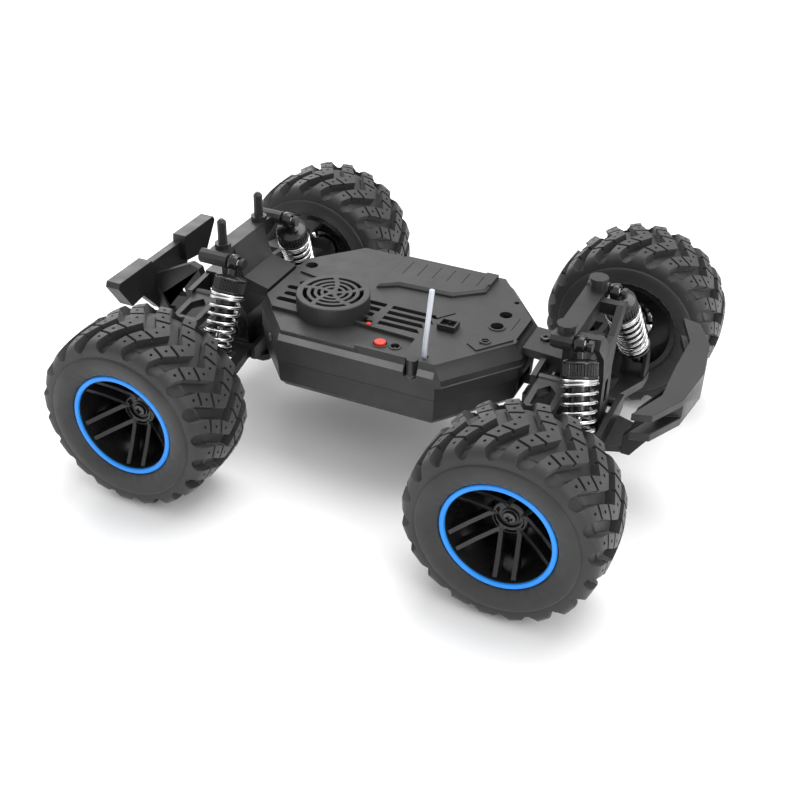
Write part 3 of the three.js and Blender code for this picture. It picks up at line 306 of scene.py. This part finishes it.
CELL = surface("battery_wrap", (0.01, 0.08, 0.35), (0.015, 0.1, 0.42), (0.4, 0.55), bump=0.2)

# ---------------------------------------------------------------- screws
ARM_ANGLE = 0.38  # half the angle that one arm of the cross takes up at its end
CROSS_ANGLES = [quarter * math.pi / 2 + a for quarter in range(4)
                for a in (0, ARM_ANGLE, math.pi / 4, math.pi / 2 - ARM_ANGLE)]
CROSS_SHARES = (0.52, 0.56, 0.26, 0.56)  # of the head's radius, at those angles


def screw(part, at, along, radius=2.6, height=1.5):
    """A pan head with a cross recess, standing on a point."""
    cross = [radius * share for _ in range(4) for share in CROSS_SHARES]
    spin = Vector(along).to_track_quat("Z", "Y").to_matrix()

    def loop(radii, level):
        return [Vector(at) + spin @ Vector((r * math.cos(a), r * math.sin(a), level))
                for r, a in zip(radii, CROSS_ANGLES)]

    def even(share):
        return [radius * share] * len(CROSS_ANGLES)

    rows = [loop(even(1), 0), loop(even(1), height * 0.5), loop(even(0.9), height * 0.85),
            loop(even(0.7), height), loop(cross, height), loop([r * 0.8 for r in cross], height * 0.3)]
    return part.grid(rows, True, True)


# ---------------------------------------------------------------- tyres
BARS = 20
BLOCKS = 3  # on each half of a bar
BLOCK_PITCH = 7.2
SIPE = 1.3
SIPE_DEPTH = 2.6
GROOVE_DEPTH = 5.2
GROOVE_HALF, GROOVE_GROWTH = 4.7, 0.04  # degrees at the apex, and more for each mm outward
GROOVE_SLOPE = 0.55  # degrees from the top of a bar's side to its foot
SIPE_SLOPE = 0.12
HOLE_RADIUS, HOLE_DEPTH = 0.85, 1.8
SIPE_LEAN = 0.3
CROWN_DROP, CROWN_REACH, CROWN_POWER = 2.0, 20.7, 2.6
SWEEP, SHOULDER_SWEEP, SHOULDER_FROM = 0.8, 0.42, 14  # degrees for each mm, and where the sweep slows


def crown(y):
    return TYRE_RADIUS - CROWN_DROP * (y / CROWN_REACH) ** CROWN_POWER


def sweep(y):
    """How far the bars' middle line trails the apex, in degrees."""
    return -(SWEEP * min(y, SHOULDER_FROM) + SHOULDER_SWEEP * max(0, y - SHOULDER_FROM))


def tread_rows():
    """(y, radius, half groove in degrees, groove depth, bar lowered by, hole) from the apex outward."""
    rows = []
    for k in range(BLOCKS):
        start, end = k * BLOCK_PITCH, (k + 1) * BLOCK_PITCH - SIPE
        for y, hole in ((start, False), ((start + end) / 2, True), (end, False)):
            rows.append([y, crown(y), GROOVE_HALF + y * GROOVE_GROWTH, GROOVE_DEPTH, 0, hole])
        if k < BLOCKS - 1:
            for y in (end + SIPE_SLOPE, end + SIPE - SIPE_SLOPE):
                rows.append([y, crown(y), GROOVE_HALF + y * GROOVE_GROWTH, GROOVE_DEPTH, SIPE_DEPTH, False])
    # The shoulder, where each groove closes in a rounded end, then the wall down to the bead.
    rows += [[21.8, 47.3, 5.2, 4.9, 0, False], [23.0, 46.1, 4.8, 4.4, 0, False],
             [23.8, 44.7, 3.7, 3.6, 0, False], [24.0, 43.6, 1.9, 2.6, 0, False],
             [24.05, 43.1, 1.9, 0, 0, False], [24.2, 41.8, 4, 0, 0, False], [24.0, 40.0, 4, 0, 0, False],
             [24.75, 39.6, 4, 0, 0, False], [25.0, 39.1, 4, 0, 0, False], [24.9, 35.5, 4, 0, 0, False],
             [24.2, 31.8, 4, 0, 0, False], [22.9, 29.6, 4, 0, 0, False], [21.8, 28.9, 4, 0, 0, False]]
    inner = (17, 28.9), (18.6, 33), (20.4, 40), (15, 44.6), (0, 45.2)
    rows += [[y, r, 4, 0, 0, False] for y, r in inner]
    return rows


def tyre_part():
    rows, pitch = tread_rows(), 360 / BARS
    table = []
    for y, radius, groove, depth, lowered, _ in rows:
        bar = pitch / 2 - groove
        line = []
        for k in range(BARS):
            for column, offset in enumerate((-bar, 0, bar, bar + GROOVE_SLOPE, pitch / 2,
                                             pitch - bar - GROOVE_SLOPE)):
                angle = math.radians(k * pitch + sweep(y) + offset)
                r, across = radius - lowered, y
                if column < 3:
                    lean = SIPE_LEAN * min(1, y / 5) * max(0, min(1, (23.5 - y) / 3))
                    across += lean * math.radians(offset) * radius
                elif depth:
                    r = radius - depth
                    across = y - 0.25 * depth * max(0, min(1, (y - 20) / 3))
                line.append(Vector((r * math.sin(angle), across, r * math.cos(angle))))
        table.append(line)
    n = len(table[0])
    half = Part()
    holes = {(j, c) for j, row in enumerate(rows) if row[5] for c in range(1, n, 6)}
    around_hole = [(-1, -1), (-1, 0), (-1, 1), (0, 1), (1, 1), (1, 0), (1, -1), (0, -1)]
    faces = [[j * n + c, j * n + (c + 1) % n, (j + 1) * n + (c + 1) % n, (j + 1) * n + c]
             for j in range(len(table) - 1) for c in range(n)
             if not holes & {(j, c), (j, (c + 1) % n), (j + 1, c), (j + 1, (c + 1) % n)}]
    half.add([p for line in table for p in line], faces)
    for j, c in sorted(holes):
        centre = table[j][c]
        rim = [table[j + dj][(c + dc) % n] for dj, dc in around_hole]
        mouth = [centre + (p - centre).normalized() * HOLE_RADIUS for p in rim]
        inward = Vector((-centre.x, 0, -centre.z)).normalized() * HOLE_DEPTH
        half.grid([rim, mouth, [p + inward for p in mouth]], True)
        half.add([p + inward for p in mouth], [list(range(8))])
    return Part().join(half).join(half.mirrored())


TYRE_LOW, TYRE_HIGH = box_mm("tyre_fl")
RING_LOW, RING_HIGH = box_mm("rim_ring_fl")
TYRE_RADIUS = (TYRE_HIGH.z - TYRE_LOW.z) / 2
RIM_RADIUS = (RING_HIGH.z - RING_LOW.z) / 2
WHEEL_AT = {corner: middle("tyre_" + corner) for corner, _ in CORNERS}
RING_AT = RING_LOW.y - WHEEL_AT["fl"].y
RING_THICKNESS = RING_HIGH.y - RING_LOW.y

# ---------------------------------------------------------------- rims
SPOKE_PAIRS = 5
SPOKE_TURN = math.radians(171)
# (distance out from the axle, outer face, depth) along a spoke, from the hub to just inside the rim
SPOKE_STATIONS = (4.5, 6.2, 6), (9, 7.6, 6), (17, 13.2, 6.5)
SPOKE_END_INSET, SPOKE_END_BELOW_LIP, SPOKE_END_DEPTH = 3.6, 1.2, 8
STUB_CLEAR = 12.5  # hole in the inner web, round the bearing housing
WEB_LOW, WEB_HIGH, WEB_INSET = -9, -7.5, 4.4
SPOKE_SPREAD = 4.6  # between a pair's middle line and each of its spokes
SPOKE_WIDTH = 2.3


def rim_part():
    part = Part()
    r, lip = RIM_RADIUS, RING_AT - 0.3
    part.turned([(r, -lip), (r, lip), (r - 2.8, lip), (r - 3.2, lip - 2.6), (r - 4, lip - 9),
                 (r - 4.4, -6), (r - 4.6, -lip + 4), (r - 3.2, -lip)], (0, 0, 0), (0, 1, 0), 64, True)
    for k in range(SPOKE_PAIRS):
        spin = Matrix.Rotation(k * 2 * math.pi / SPOKE_PAIRS + SPOKE_TURN, 4, "Y")
        for way in (-1, 1):
            near, far = (way * SPOKE_SPREAD + half for half in (-SPOKE_WIDTH / 2, SPOKE_WIDTH / 2))
            rows = [[(near, top, z), (far, top, z), (far, top - deep, z), (near, top - deep, z)]
                    for z, top, deep in (*SPOKE_STATIONS, (r - SPOKE_END_INSET, lip - SPOKE_END_BELOW_LIP,
                                                           SPOKE_END_DEPTH))]
            part.join(Part().grid(rows, True, True), spin)
    # A deep inner web behind the spokes, then the hub: a cup with a raised wall and a boss.
    part.turned([(STUB_CLEAR, WEB_HIGH), (r - WEB_INSET, WEB_HIGH), (r - WEB_INSET, WEB_LOW),
                 (STUB_CLEAR, WEB_LOW)], (0, 0, 0), (0, 1, 0), 64, True)
    part.turned([(8.8, -5), (9.2, 1), (9.2, 6.2), (8.2, 6.9), (7.6, 6.9), (7.4, 4.6), (4.4, 4.6),
                 (4.4, 5.6), (0.4, 5.6)], (0, 0, 0), (0, 1, 0), 48)
    # A crescent against the cup's wall.
    crescent, steps, reach, low, high = [], 18, 6.9, Vector((0, 4.4, 0)), Vector((0, 6.2, 0))
    for i in range(steps + 1):
        angle = math.radians(-20 + i * 11)
        swell = 0.25 + 1.3 * math.sin(math.pi * i / steps)
        across = Vector((math.cos(angle), 0, -math.sin(angle)))
        crescent.append([across * reach + low, across * (reach - swell) + low,
                         across * (reach - swell) + high, across * reach + high])
    part.grid(crescent, True, True)
    part.rod(2.5, (0, -5, 0), (0, box_mm("rim_fl")[0].y - WHEEL_AT["fl"].y, 0))
    return part


def ring_part():
    r, t = RIM_RADIUS, RING_THICKNESS
    return Part().turned([(r - 2.7, RING_AT), (r, RING_AT), (r, RING_AT + t * 0.6), (r - 0.5, RING_AT + t),
                          (r - 2.3, RING_AT + t), (r - 2.7, RING_AT + t * 0.6)],
                         (0, 0, 0), (0, 1, 0), 96, True)


meshes = {}
for side in (1, -1):
    meshes[side] = {
        "tyre": mesh_of("tyre_mesh", on_side(tyre_part(), side)),
        "rim": mesh_of("rim_mesh", on_side(rim_part(), side)),
        "ring": mesh_of("ring_mesh", on_side(ring_part(), side)),
        "bolt": mesh_of("wheel_screw_mesh", on_side(screw(Part(), (0, 5.2, 0), (0, 1, 0), 3.5, 1.8), side)),
    }
for corner, side in CORNERS:
    body, at = "wheel_" + corner, WHEEL_AT[corner]
    piece("rubber_tyre_" + corner, meshes[side]["tyre"], RUBBER, body, ["tyre_" + corner],
          0.22, at, 36)
    piece("dished_rim_" + corner, meshes[side]["rim"], GLOSS, body, ["rim_" + corner], 0.25, at)
    piece("blue_ring_" + corner, meshes[side]["ring"], BLUE, body, ["rim_ring_" + corner],
          0.2, at)
    piece("wheel_screw_" + corner, meshes[side]["bolt"], SCREW, body, (), 0, at)

# ---------------------------------------------------------------- shocks
SPRING_WIRE = 0.95
SPRING_TURNS = 7.6
SPRING_RADIUS, SPRING_TAPER = 8.7, 1.2
SPRING_TOP, SPRING_SEAT = -17.5, 10.4  # below the top eye, and above the foot's eye
STEPS_PER_TURN = 24
END_PITCH = 0.22  # pitch of the closed end turns, as a share of the even pitch
TOP_END_TURNS, FOOT_END_TURNS = 1, 0.8
EYE_RADIUS = 4.4
EYE_PROFILE = [(2.7, -2.5), (4.0, -2.5), (4.4, -1.6), (4.4, 1.6), (4.0, 2.5), (2.7, 2.5)]
FOOT_EYE_PROFILE = [(2.7, -2.5), (4.0, -2.5), (4.5, -1.6), (4.5, 1.6), (4.0, 2.5), (2.7, 2.5)]
JOINTS = {j["name"]: j for j in frame["joints"]}


def shock_line(corner):
    """A shock's top eye, its way down, and the distance between its eyes."""
    eye = Vector(JOINTS["shock_swing_" + corner]["pos_m"]) / MM
    way = Vector(JOINTS["shock_slide_" + corner]["axis"]).normalized()
    if way.z > 0:
        way = -way
    reach = (box_mm("shock_rod_" + corner)[0].z - eye.z + EYE_RADIUS) / way.z
    return eye, way, reach


def shock_frame(eye, way):
    """Local +Z runs from the foot up to the eye, and local X stays level."""
    up = -way
    across = Vector((0, 1, 0)).cross(up).normalized()
    return Matrix.Translation(eye) @ Matrix((across, up.cross(across), up)).transposed().to_4x4()


def shock_body_part():
    part = Part()
    part.turned(EYE_PROFILE, (0, 0, 0), (1, 0, 0), 32, True)
    part.rod(2.6, (0, 0, -3.4), (0, 0, -8.4))
    part.turned([(4.6, -7.0), (5.6, -7.4), (8.2, -8), (8.9, -8.6), (8.9, -9.4), (8.3, -9.7)], sides=48)
    ribs = 32
    rows = []
    for z in (-9.5, -15.2):
        row = []
        for i in range(ribs * 4):
            radius, angle = (8.9 if i % 4 < 2 else 8.2), math.pi * i / ribs / 2
            row.append((radius * math.cos(angle), radius * math.sin(angle), z))
        rows.append(row)
    part.grid(rows, True, True)
    part.turned([(8.4, -15.0), (9.2, -15.3), (9.2, -16.5), (5.5, -16.6)], sides=48)
    part.turned([(5.4, -16.4), (5.4, -33.4), (6.0, -33.6), (6.0, -35), (1.9, -35.2)], sides=32)
    return part


def shock_rod_part(length):
    part = Part()
    part.turned([(2.4, -length + 3), (2.6, -length + 7.4), (8.0, -length + 7.5), (8.8, -length + 8.2),
                 (8.8, -length + 9.2), (7.6, -length + 9.5), (3.0, -length + 9.5), (3.0, -length + 11),
                 (1.6, -length + 11.2)], sides=40)
    part.turned(FOOT_EYE_PROFILE, (0, 0, -length), (1, 0, 0), 32, True)
    return part


def spring_path(length):
    top, bottom = SPRING_TOP, -length + SPRING_SEAT
    steps = int(SPRING_TURNS * STEPS_PER_TURN)
    whole = END_PITCH + (SPRING_TURNS - TOP_END_TURNS - FOOT_END_TURNS) + FOOT_END_TURNS * END_PITCH
    path = []
    for i in range(steps + 1):
        turns = SPRING_TURNS * i / steps
        lead = min(turns, TOP_END_TURNS) * END_PITCH
        even = max(0, min(turns, SPRING_TURNS - FOOT_END_TURNS) - TOP_END_TURNS)
        tail = max(0, turns - SPRING_TURNS + FOOT_END_TURNS) * END_PITCH
        share = (lead + even + tail) / whole
        radius = SPRING_RADIUS - SPRING_TAPER * share
        angle = -2 * math.pi * turns
        path.append((radius * math.cos(angle), radius * math.sin(angle), top + (bottom - top) * share))
    return path


for corner, _ in CORNERS:
    eye, way, length = shock_line(corner)
    place = shock_frame(eye, way)
    upper, lower = "shock_body_" + corner, "shock_rod_" + corner
    piece("shock_cap_" + corner, shock_body_part().placed(place), GLOSS, upper,
          ["shock_body_" + corner], 0.2)
    ball = Part().turned([(1.55, -2.6), (2.9, -1.1), (3.1, 0), (2.9, 1.1), (1.55, 2.6)],
                         (0, 0, 0), (1, 0, 0), 24, True)
    piece("shock_ball_" + corner, Part().join(ball, place), STEEL, upper, (), 0)
    piece("shock_foot_" + corner, shock_rod_part(length).placed(place), GLOSS, lower,
          ["shock_rod_" + corner], 0.2)
    stem = Part().rod(1.45, (0, 0, -length + 8), (0, 0, -26)).placed(place)
    piece("shock_stem_" + corner, stem, CHROME, lower, (), 0)
    coil = piece("coil_spring_" + corner, Part().tube(spring_path(length), SPRING_WIRE, 10).placed(place),
                 CHROME, None, (), 0, None, 60)
    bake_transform(coil)
    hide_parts("shock_spring_" + corner)

# ---------------------------------------------------------------- electronics box
COVER_LOW, COVER_HIGH = box_mm("top_cover")
REAR, FRONT, HALF, SEAM = COVER_LOW.x, COVER_HIGH.x, COVER_HIGH.y, COVER_LOW.z
FAN_TOP = COVER_HIGH.z
COVER_HEIGHT, TRAY_DEPTH = 19.4, 2.1
TOP = SEAM + COVER_HEIGHT
REAR_CORNER, FRONT_CORNER, REAR_FACE, FRONT_FACE = 25.6, 30.5, 24.8, 14.7
WALL = 2.4
FAN_AT = middle("cooling_fan")
FAN_RADIUS = 20
TRAY = TOP - TRAY_DEPTH
PANEL_LEFT, PANEL_RIGHT = FRONT - 76.8, FRONT - 51.4
BUTTON_AT = middle("power_button")
JACK_AT = BUTTON_AT + Vector((8.2, 0.7, 0))
ANTENNA_AT = middle("antenna_tube")
COVER_SCREW_X = FRONT - 44.4


def box_outline(inset, front_flare=0.0):
    slope = inset * 0.55
    half = [(REAR + inset, REAR_FACE - slope), (REAR + REAR_CORNER + slope, HALF - inset),
            (FRONT - FRONT_CORNER - slope + front_flare, HALF - inset),
            (FRONT - inset + front_flare * 0.6, FRONT_FACE - slope + front_flare * 0.4)]
    return half + [(x, -y) for x, y in reversed(half)]


def layered(levels):
    return Part().grid([[(x, y, z) for x, y in box_outline(inset, flare)] for inset, z, flare in levels],
                       True, True)


def raised_outline(inset=0.0):
    x0, x1, x2, x3 = FAN_AT.x + 12.1, FAN_AT.x + 22.5, FRONT - 50.9, FRONT - 35.8
    return [(x0 + inset, 9.1 + inset), (x1, 15.5 + inset), (x2 - inset * 0.3, 17.1 + inset),
            (x3 - inset, 29.7 + inset * 0.6), (x3 - inset, 49.5 - inset), (x0 + inset, 49.5 - inset)]


def cover_cutters():
    part = layered([(WALL, SEAM - 1, 0), (WALL, TOP - 8.3, 0), (5.6, TOP - WALL - 0.6, 0)])
    part.rod(FAN_RADIUS - 2.6, (FAN_AT.x, FAN_AT.y, TOP - 7), (FAN_AT.x, FAN_AT.y, TOP + 9), 48)
    # Sunken tray along the near edge, running into the button panel.
    part.prism("z", [(REAR - 5, -33.5), (FAN_AT.x + 9, -33.5), (FAN_AT.x + 9, -29.3), (PANEL_RIGHT, -31.5),
                     (PANEL_RIGHT + 1, -49.4), (PANEL_LEFT, -49.4), (PANEL_LEFT, -60), (REAR - 5, -60)],
               TRAY, TOP + 5)
    for k in range(4):  # vents behind the fan
        y, start = -3.4 - 7 * k, FAN_AT.x - (27, 31, 29, 30)[k]
        part.block((start, FAN_AT.x - 12), (y - 2, y + 2), (TOP - 5, TOP + 1))
        part.rod(2, (start, y, TOP - 5), (start, y, TOP + 1), 16)
    for k in range(4):  # short ribs beside it, then the long channels with slanted ends
        y = -6.4 - 6 * k
        part.block((FAN_AT.x + 14, FAN_AT.x + 25.4 - k), (y - 1.9, y + 1.9), (TOP - 5, TOP + 1))
        end = 18.5 - (3 if k > 1 else 0)
        part.prism("z", [(-6.2, y - 1.8), (end + 2.6, y - 1.8), (end, y + 1.8), (-6.2, y + 1.8)],
                   TOP - 5, TOP + 1)
        part.block((-9.8, -6), (y - 1.2, y + 1.2), (TOP - 5, TOP - 1.2))
    part.block((FAN_AT.x + 12, FAN_AT.x + 26), (-27.8, -24.6), (TOP - 4, TOP + 1))
    for x, y, r in ((FRONT - 17.7, 12.5, 3.5), (FRONT - 17.5, -1.6, 3.5), (FRONT - 17, 27.6, 1.5),
                    (FRONT - 17.2, -19.7, 2.0), (REAR + 9, 17.7, 3.5),
                    (ANTENNA_AT.x - 0.9, ANTENNA_AT.y, 1.7),
                    (BUTTON_AT.x, BUTTON_AT.y, 3.6), (JACK_AT.x, JACK_AT.y, 2.4)):
        part.rod(r, (x, y, TOP - 7), (x, y, TOP + 2), 32)
    part.block((FRONT - 3.9, FRONT - 2.7), (-10, 15.2), (TOP - 3, TOP + 1))
    part.block((FRONT - 9.6, FRONT - 9.2), (-2, 12), (TOP - 0.5, TOP + 1))
    # Recess in the edge for the cover screw.
    part.block((FRONT - 48, FRONT - 41), (-60, -50.4), (TOP - 9, TOP + 1))
    part.prism("z", [(FRONT - 50, -7.4), (FRONT - 49, -8.2), (FRONT - 42, 1.6), (FRONT - 43, 2.4)],
               TOP - 1.2, TOP + 1)
    return part


cover = layered([(0, SEAM, 0), (0.1, TOP - 12.4, 0), (0.1, TOP - 11.2, 4.4), (0.1, TOP - 10.6, 4.4),
                 (0.1, TOP - 10.3, 3.6), (0.1, TOP - 7, 2.9), (1.9, TOP - 4.0, 1.6), (2.6, TOP - 2.2, 0.5),
                 (2.9, TOP, 0)])
piece("lid_shell", carved("cover", cover, cover_cutters()), COVER, "root", ["top_cover"],
      0.22, None, 30)


def fan_guard():
    part = Part()
    x, y = FAN_AT.x, FAN_AT.y
    part.turned([(FAN_RADIUS, TRAY - 1.5), (FAN_RADIUS, FAN_TOP - 0.5), (FAN_RADIUS - 0.5, FAN_TOP),
                 (FAN_RADIUS - 3.6, FAN_TOP), (FAN_RADIUS - 3.6, FAN_TOP - 1.6),
                 (FAN_RADIUS - 1.6, FAN_TOP - 1.8), (FAN_RADIUS - 1.6, TRAY - 1.5)],
                (x, y, 0), (0, 0, 1), 72, True)
    for outer, inner in ((14.2, 12.2), (10.4, 8.6), (6.9, 5.2)):
        part.ring(outer, inner, (x, y, FAN_TOP - 1.6), (0, 0, 1), 1.6, 60)
    part.rod(3.0, (x, y, FAN_TOP - 1.6), (x, y, FAN_TOP), 24)
    for k in range(5):
        edges = [], []
        for step in range(9):
            radius = 1.5 + (FAN_RADIUS - 4.5) * step / 8
            middle_angle = 2 * math.pi * k / 5 + 0.35 + 0.045 * step
            for edge, way in zip(edges, (-1, 1)):
                angle = middle_angle + way * (1.1 + 0.05 * step) / radius
                edge.append((x + radius * math.cos(angle), y + radius * math.sin(angle)))
        part.prism("z", edges[0] + edges[1][::-1], FAN_TOP - 1.5, FAN_TOP - 0.04)
    return part


piece("fan_guard", fan_guard(), COVER, "root", (), 0.18, None, 30)

trim = Part()
plate = [[(px, py, z) for px, py in raised_outline(inset)]
         for inset, z in ((0, TOP - 0.4), (0, TOP + 1.2), (1.5, TOP + 2.6))]
trim.grid(plate, True, True)
plate_end = raised_outline()[3][0]
trim.block((plate_end - 7, plate_end), (36, 49.5), (TOP - 0.4, TOP + 2.6))
# Low rails and risers moulded on the lid.
trim.prism("z", [(REAR + 7.5, 8.2), (REAR + 19, 5.6), (REAR + 19, 4.4), (REAR + 7.5, 6.8)],
           TOP - 0.3, TOP + 1.2)
trim.prism("z", [(FRONT - 25.2, -24.8), (FRONT - 18.4, -29.6), (FRONT - 4.6, -11.6), (FRONT - 7.2, -9.2),
                 (FRONT - 18.6, -23.8), (FRONT - 23.2, -21.6)], TOP - 0.3, TOP + 0.8)
trim.ring(4.6, 3.5, (FRONT - 17.5, -1.6, TOP - 0.2), (0, 0, 1), 0.8, 32)
trim.ring(3.0, 2.0, (FRONT - 17.2, -19.7, TOP + 0.6), (0, 0, 1), 0.9, 24)
trim.ring(3.4, 2.4, (JACK_AT.x, JACK_AT.y, TRAY - 0.2), (0, 0, 1), 0.7, 24)
trim.ring(4.6, 3.7, (BUTTON_AT.x, BUTTON_AT.y, TRAY - 0.2), (0, 0, 1), 0.5, 32)
engraved = Part()
for k in range(6):
    x = FAN_AT.x + 20 + 8.5 * k
    engraved.block((x - 0.2, x + 0.2), (27 + k * 0.9, 43), (TOP + 2.2, TOP + 3.2))
piece("lid_trim", carved("lid_trim", trim, engraved), COVER, "root", (), 0.2, None, 30)

# Along each side of the lid, a band painted light grey as a painted highlight, and above it a darker one
# that stops at the button panel.
strip, grip = Part(), Part()
for side in (-1, 1):
    for start, end in ((REAR + 26.2, FRONT - 48.4), (FRONT - 40.6, FRONT - 31.6)):
        strip.prism("x", [(side * (HALF + 0.02), TOP - 7.0), (side * (HALF - 1.7), TOP - 3.9),
                          (side * (HALF - 2.6), TOP - 3.9), (side * (HALF - 1.2), TOP - 7.0)], start, end)
    grip.prism("x", [(side * (HALF - 1.8), TOP - 3.7), (side * (HALF - 2.35), TOP - 2.0),
                     (side * (HALF - 3.4), TOP - 2.0), (side * (HALF - 3.0), TOP - 3.7)],
               REAR + 27.6, PANEL_LEFT + 2)
# The strip's light grey is a painted highlight.
piece("edge_strip", strip, PAINTED_HIGHLIGHT_STRIP, "root", (), 0.1)
piece("edge_grip", grip, HATCHED, "root", (), 0)

box_screws = Part()
screw(box_screws, (COVER_SCREW_X, -51.9, TOP - 9.0), (0, -0.6, 1), 2.7)
for x, y, z in ((FRONT + 8.4, 1.9, TOP - 2.4), (REAR - 11.4, 0.8, TOP - 1.6)):
    screw(box_screws, (x, y, z), (0, 0, 1), 2.8)
chamfer_normal = Vector((-(HALF - REAR_FACE), -REAR_CORNER, 0)).normalized()
along_chamfer = 0.62
screw(box_screws, (REAR + REAR_CORNER * along_chamfer, -(REAR_FACE + (HALF - REAR_FACE) * along_chamfer),
                   SEAM + 6), chamfer_normal, 2.4)
piece("box_screws", box_screws, SCREW, "root", (), 0)

led = Part().rod(1.3, (FAN_AT.x + 25.4, -28.6, TOP - 2), (FAN_AT.x + 25.4, -28.6, TOP + 0.6), 16)
led.rod(1.0, (FAN_AT.x + 28, -22, TOP - 2), (FAN_AT.x + 28, -22, TOP - 0.4), 16)
piece("status_led", led, RED, "root", (), 0.15)

wells = Part()
wells.rod(2.3, (JACK_AT.x, JACK_AT.y, TOP - 9), (JACK_AT.x, JACK_AT.y, TOP - 5.4), 24)
wells.rod(0.7, (JACK_AT.x, JACK_AT.y, TOP - 5.6), (JACK_AT.x, JACK_AT.y, TOP - 2.6), 12)
wells.rod(3.2, (COVER_SCREW_X, -50.6, TOP - 8.9), (COVER_SCREW_X, -50.6, TOP + 0.4), 24)
wells.block((FRONT - 112, FRONT - 36), (-40, -4), (TOP - 8.6, TOP - 7.6))
piece("inner_wells", wells, DEEP, "root", (), 0.2)

# ---------------------------------------------------------------- finishes of the CAD nodes that stay shown
NODE_WELD, NODE_FLAT_ANGLE, NODE_BEVEL_ANGLE = 0.005, 1.5, 32
FINISH = {  # material and bevel width by node, or by node without its corner
    "chassis_tub": (SATIN, 0.35), "charge_socket": (DEEP, 0.15), "antenna_tube": (WHITE, 0),
    "battery_pack": (CELL, 0.5), "drive_motor": (MOTOR, 0.3), "steering_servo": (DEEP, 0.4),
    "cooling_fan": (DEEP, 0.15), "power_button": (RED, 0.5), "steering_link": (DEEP, 0.3),
    "front_gearbox": (SATIN, 0.5), "rear_gearbox": (SATIN, 0.5), "front_tower": (SATIN, 0.45),
    "rear_tower": (SATIN, 0.45), "front_bumper": (SATIN, 0.7), "rear_bumper": (SATIN, 0.6),
    "lower_arm": (SATIN, 0.4), "upper_arm": (SATIN, 0.4), "c_hub": (DEEP, 0.35), "knuckle": (DEEP, 0.35),
    "carrier": (DEEP, 0.35), "tie_rod": (DEEP, 0.25), "half_shaft": (STEEL, 0.15),
}
for name, node in frame["nodes"].items():
    if node.hide_render:
        continue
    stem = name if name in FINISH else name.rsplit("_", 1)[0]
    material, bevel = FINISH[stem]
    node.data.materials.clear()
    node.data.materials.append(material)
    if "custom_normal" in node.data.attributes:
        node.data.attributes.remove(node.data.attributes["custom_normal"])
    for polygon in node.data.polygons:
        polygon.use_smooth = True
    weld = node.modifiers.new("weld", "WELD")
    weld.merge_threshold = NODE_WELD * MM
    flat = node.modifiers.new("flat", "DECIMATE")
    flat.decimate_type, flat.angle_limit = "DISSOLVE", math.radians(NODE_FLAT_ANGLE)
    if bevel:
        soften(node, bevel, NODE_BEVEL_ANGLE, 3)

# ---------------------------------------------------------------- floor, light and camera
AZIMUTH, ELEVATION, ROLL, LENS = 24.0627, 33.1674, 1.0922, 57.36
CAMERA_AT = Vector((237.86, -547.47, 413.73)) * MM
FLOOR_HALF, FLOOR_GAP = 4, 0.0002
LIGHTS_AIM = Vector((0, 0, 0.06))

floor_mesh = bpy.data.meshes.new("floor")
floor_corners = [(x * FLOOR_HALF, y * FLOOR_HALF, 0) for x, y in ((-1, -1), (1, -1), (1, 1), (-1, 1))]
floor_mesh.from_pydata(floor_corners, [], [(0, 1, 2, 3)])
floor = bpy.data.objects.new("floor", floor_mesh)
bpy.context.scene.collection.objects.link(floor)
floor.location.z = cad_low.z - FLOOR_GAP
floor.data.materials.append(surface("pale_floor", grey(0.9), grey(0.93), (0.6, 0.7), bump=0.02, spots=2))

world = bpy.data.worlds.new("studio")
bpy.context.scene.world = world
world.use_nodes = True
world.node_tree.nodes["Background"].inputs["Color"].default_value = (1, 1, 1, 1)
world.node_tree.nodes["Background"].inputs["Strength"].default_value = 1.0
bpy.context.scene.view_settings.view_transform = "Standard"


def softbox(name, at, size, watts):
    light = bpy.data.lights.new(name, "AREA")
    light.shape, light.size, light.size_y, light.energy = "RECTANGLE", size[0], size[1], watts
    lamp = bpy.data.objects.new(name, light)
    bpy.context.scene.collection.objects.link(lamp)
    lamp.location = at
    lamp.rotation_mode = "QUATERNION"
    lamp.rotation_quaternion = (LIGHTS_AIM - Vector(at)).to_track_quat("-Z", "Y")


softbox("overhead", (0.1, 0.35, 1.3), (1.3, 0.9), 14)
softbox("front_right", (1.1, -0.7, 0.8), (0.5, 0.8), 6)
softbox("back_left", (-1.0, 0.9, 0.7), (0.8, 0.6), 6)

azimuth, elevation, roll = (math.radians(v) for v in (AZIMUTH, ELEVATION, ROLL))
back = Vector((math.sin(azimuth) * math.cos(elevation), -math.cos(azimuth) * math.cos(elevation),
               math.sin(elevation)))
right = (-back).cross(Vector((0, 0, 1))).normalized()
up = right.cross(-back)
right, up = (right * math.cos(roll) + up * math.sin(roll), up * math.cos(roll) - right * math.sin(roll))
camera_data = bpy.data.cameras.new("camera")
camera_data.lens = LENS
camera = bpy.data.objects.new("camera", camera_data)
bpy.context.scene.collection.objects.link(camera)
camera.matrix_world = Matrix.Translation(CAMERA_AT) @ Matrix((right, up, back)).transposed().to_4x4()
bpy.context.scene.camera = camera
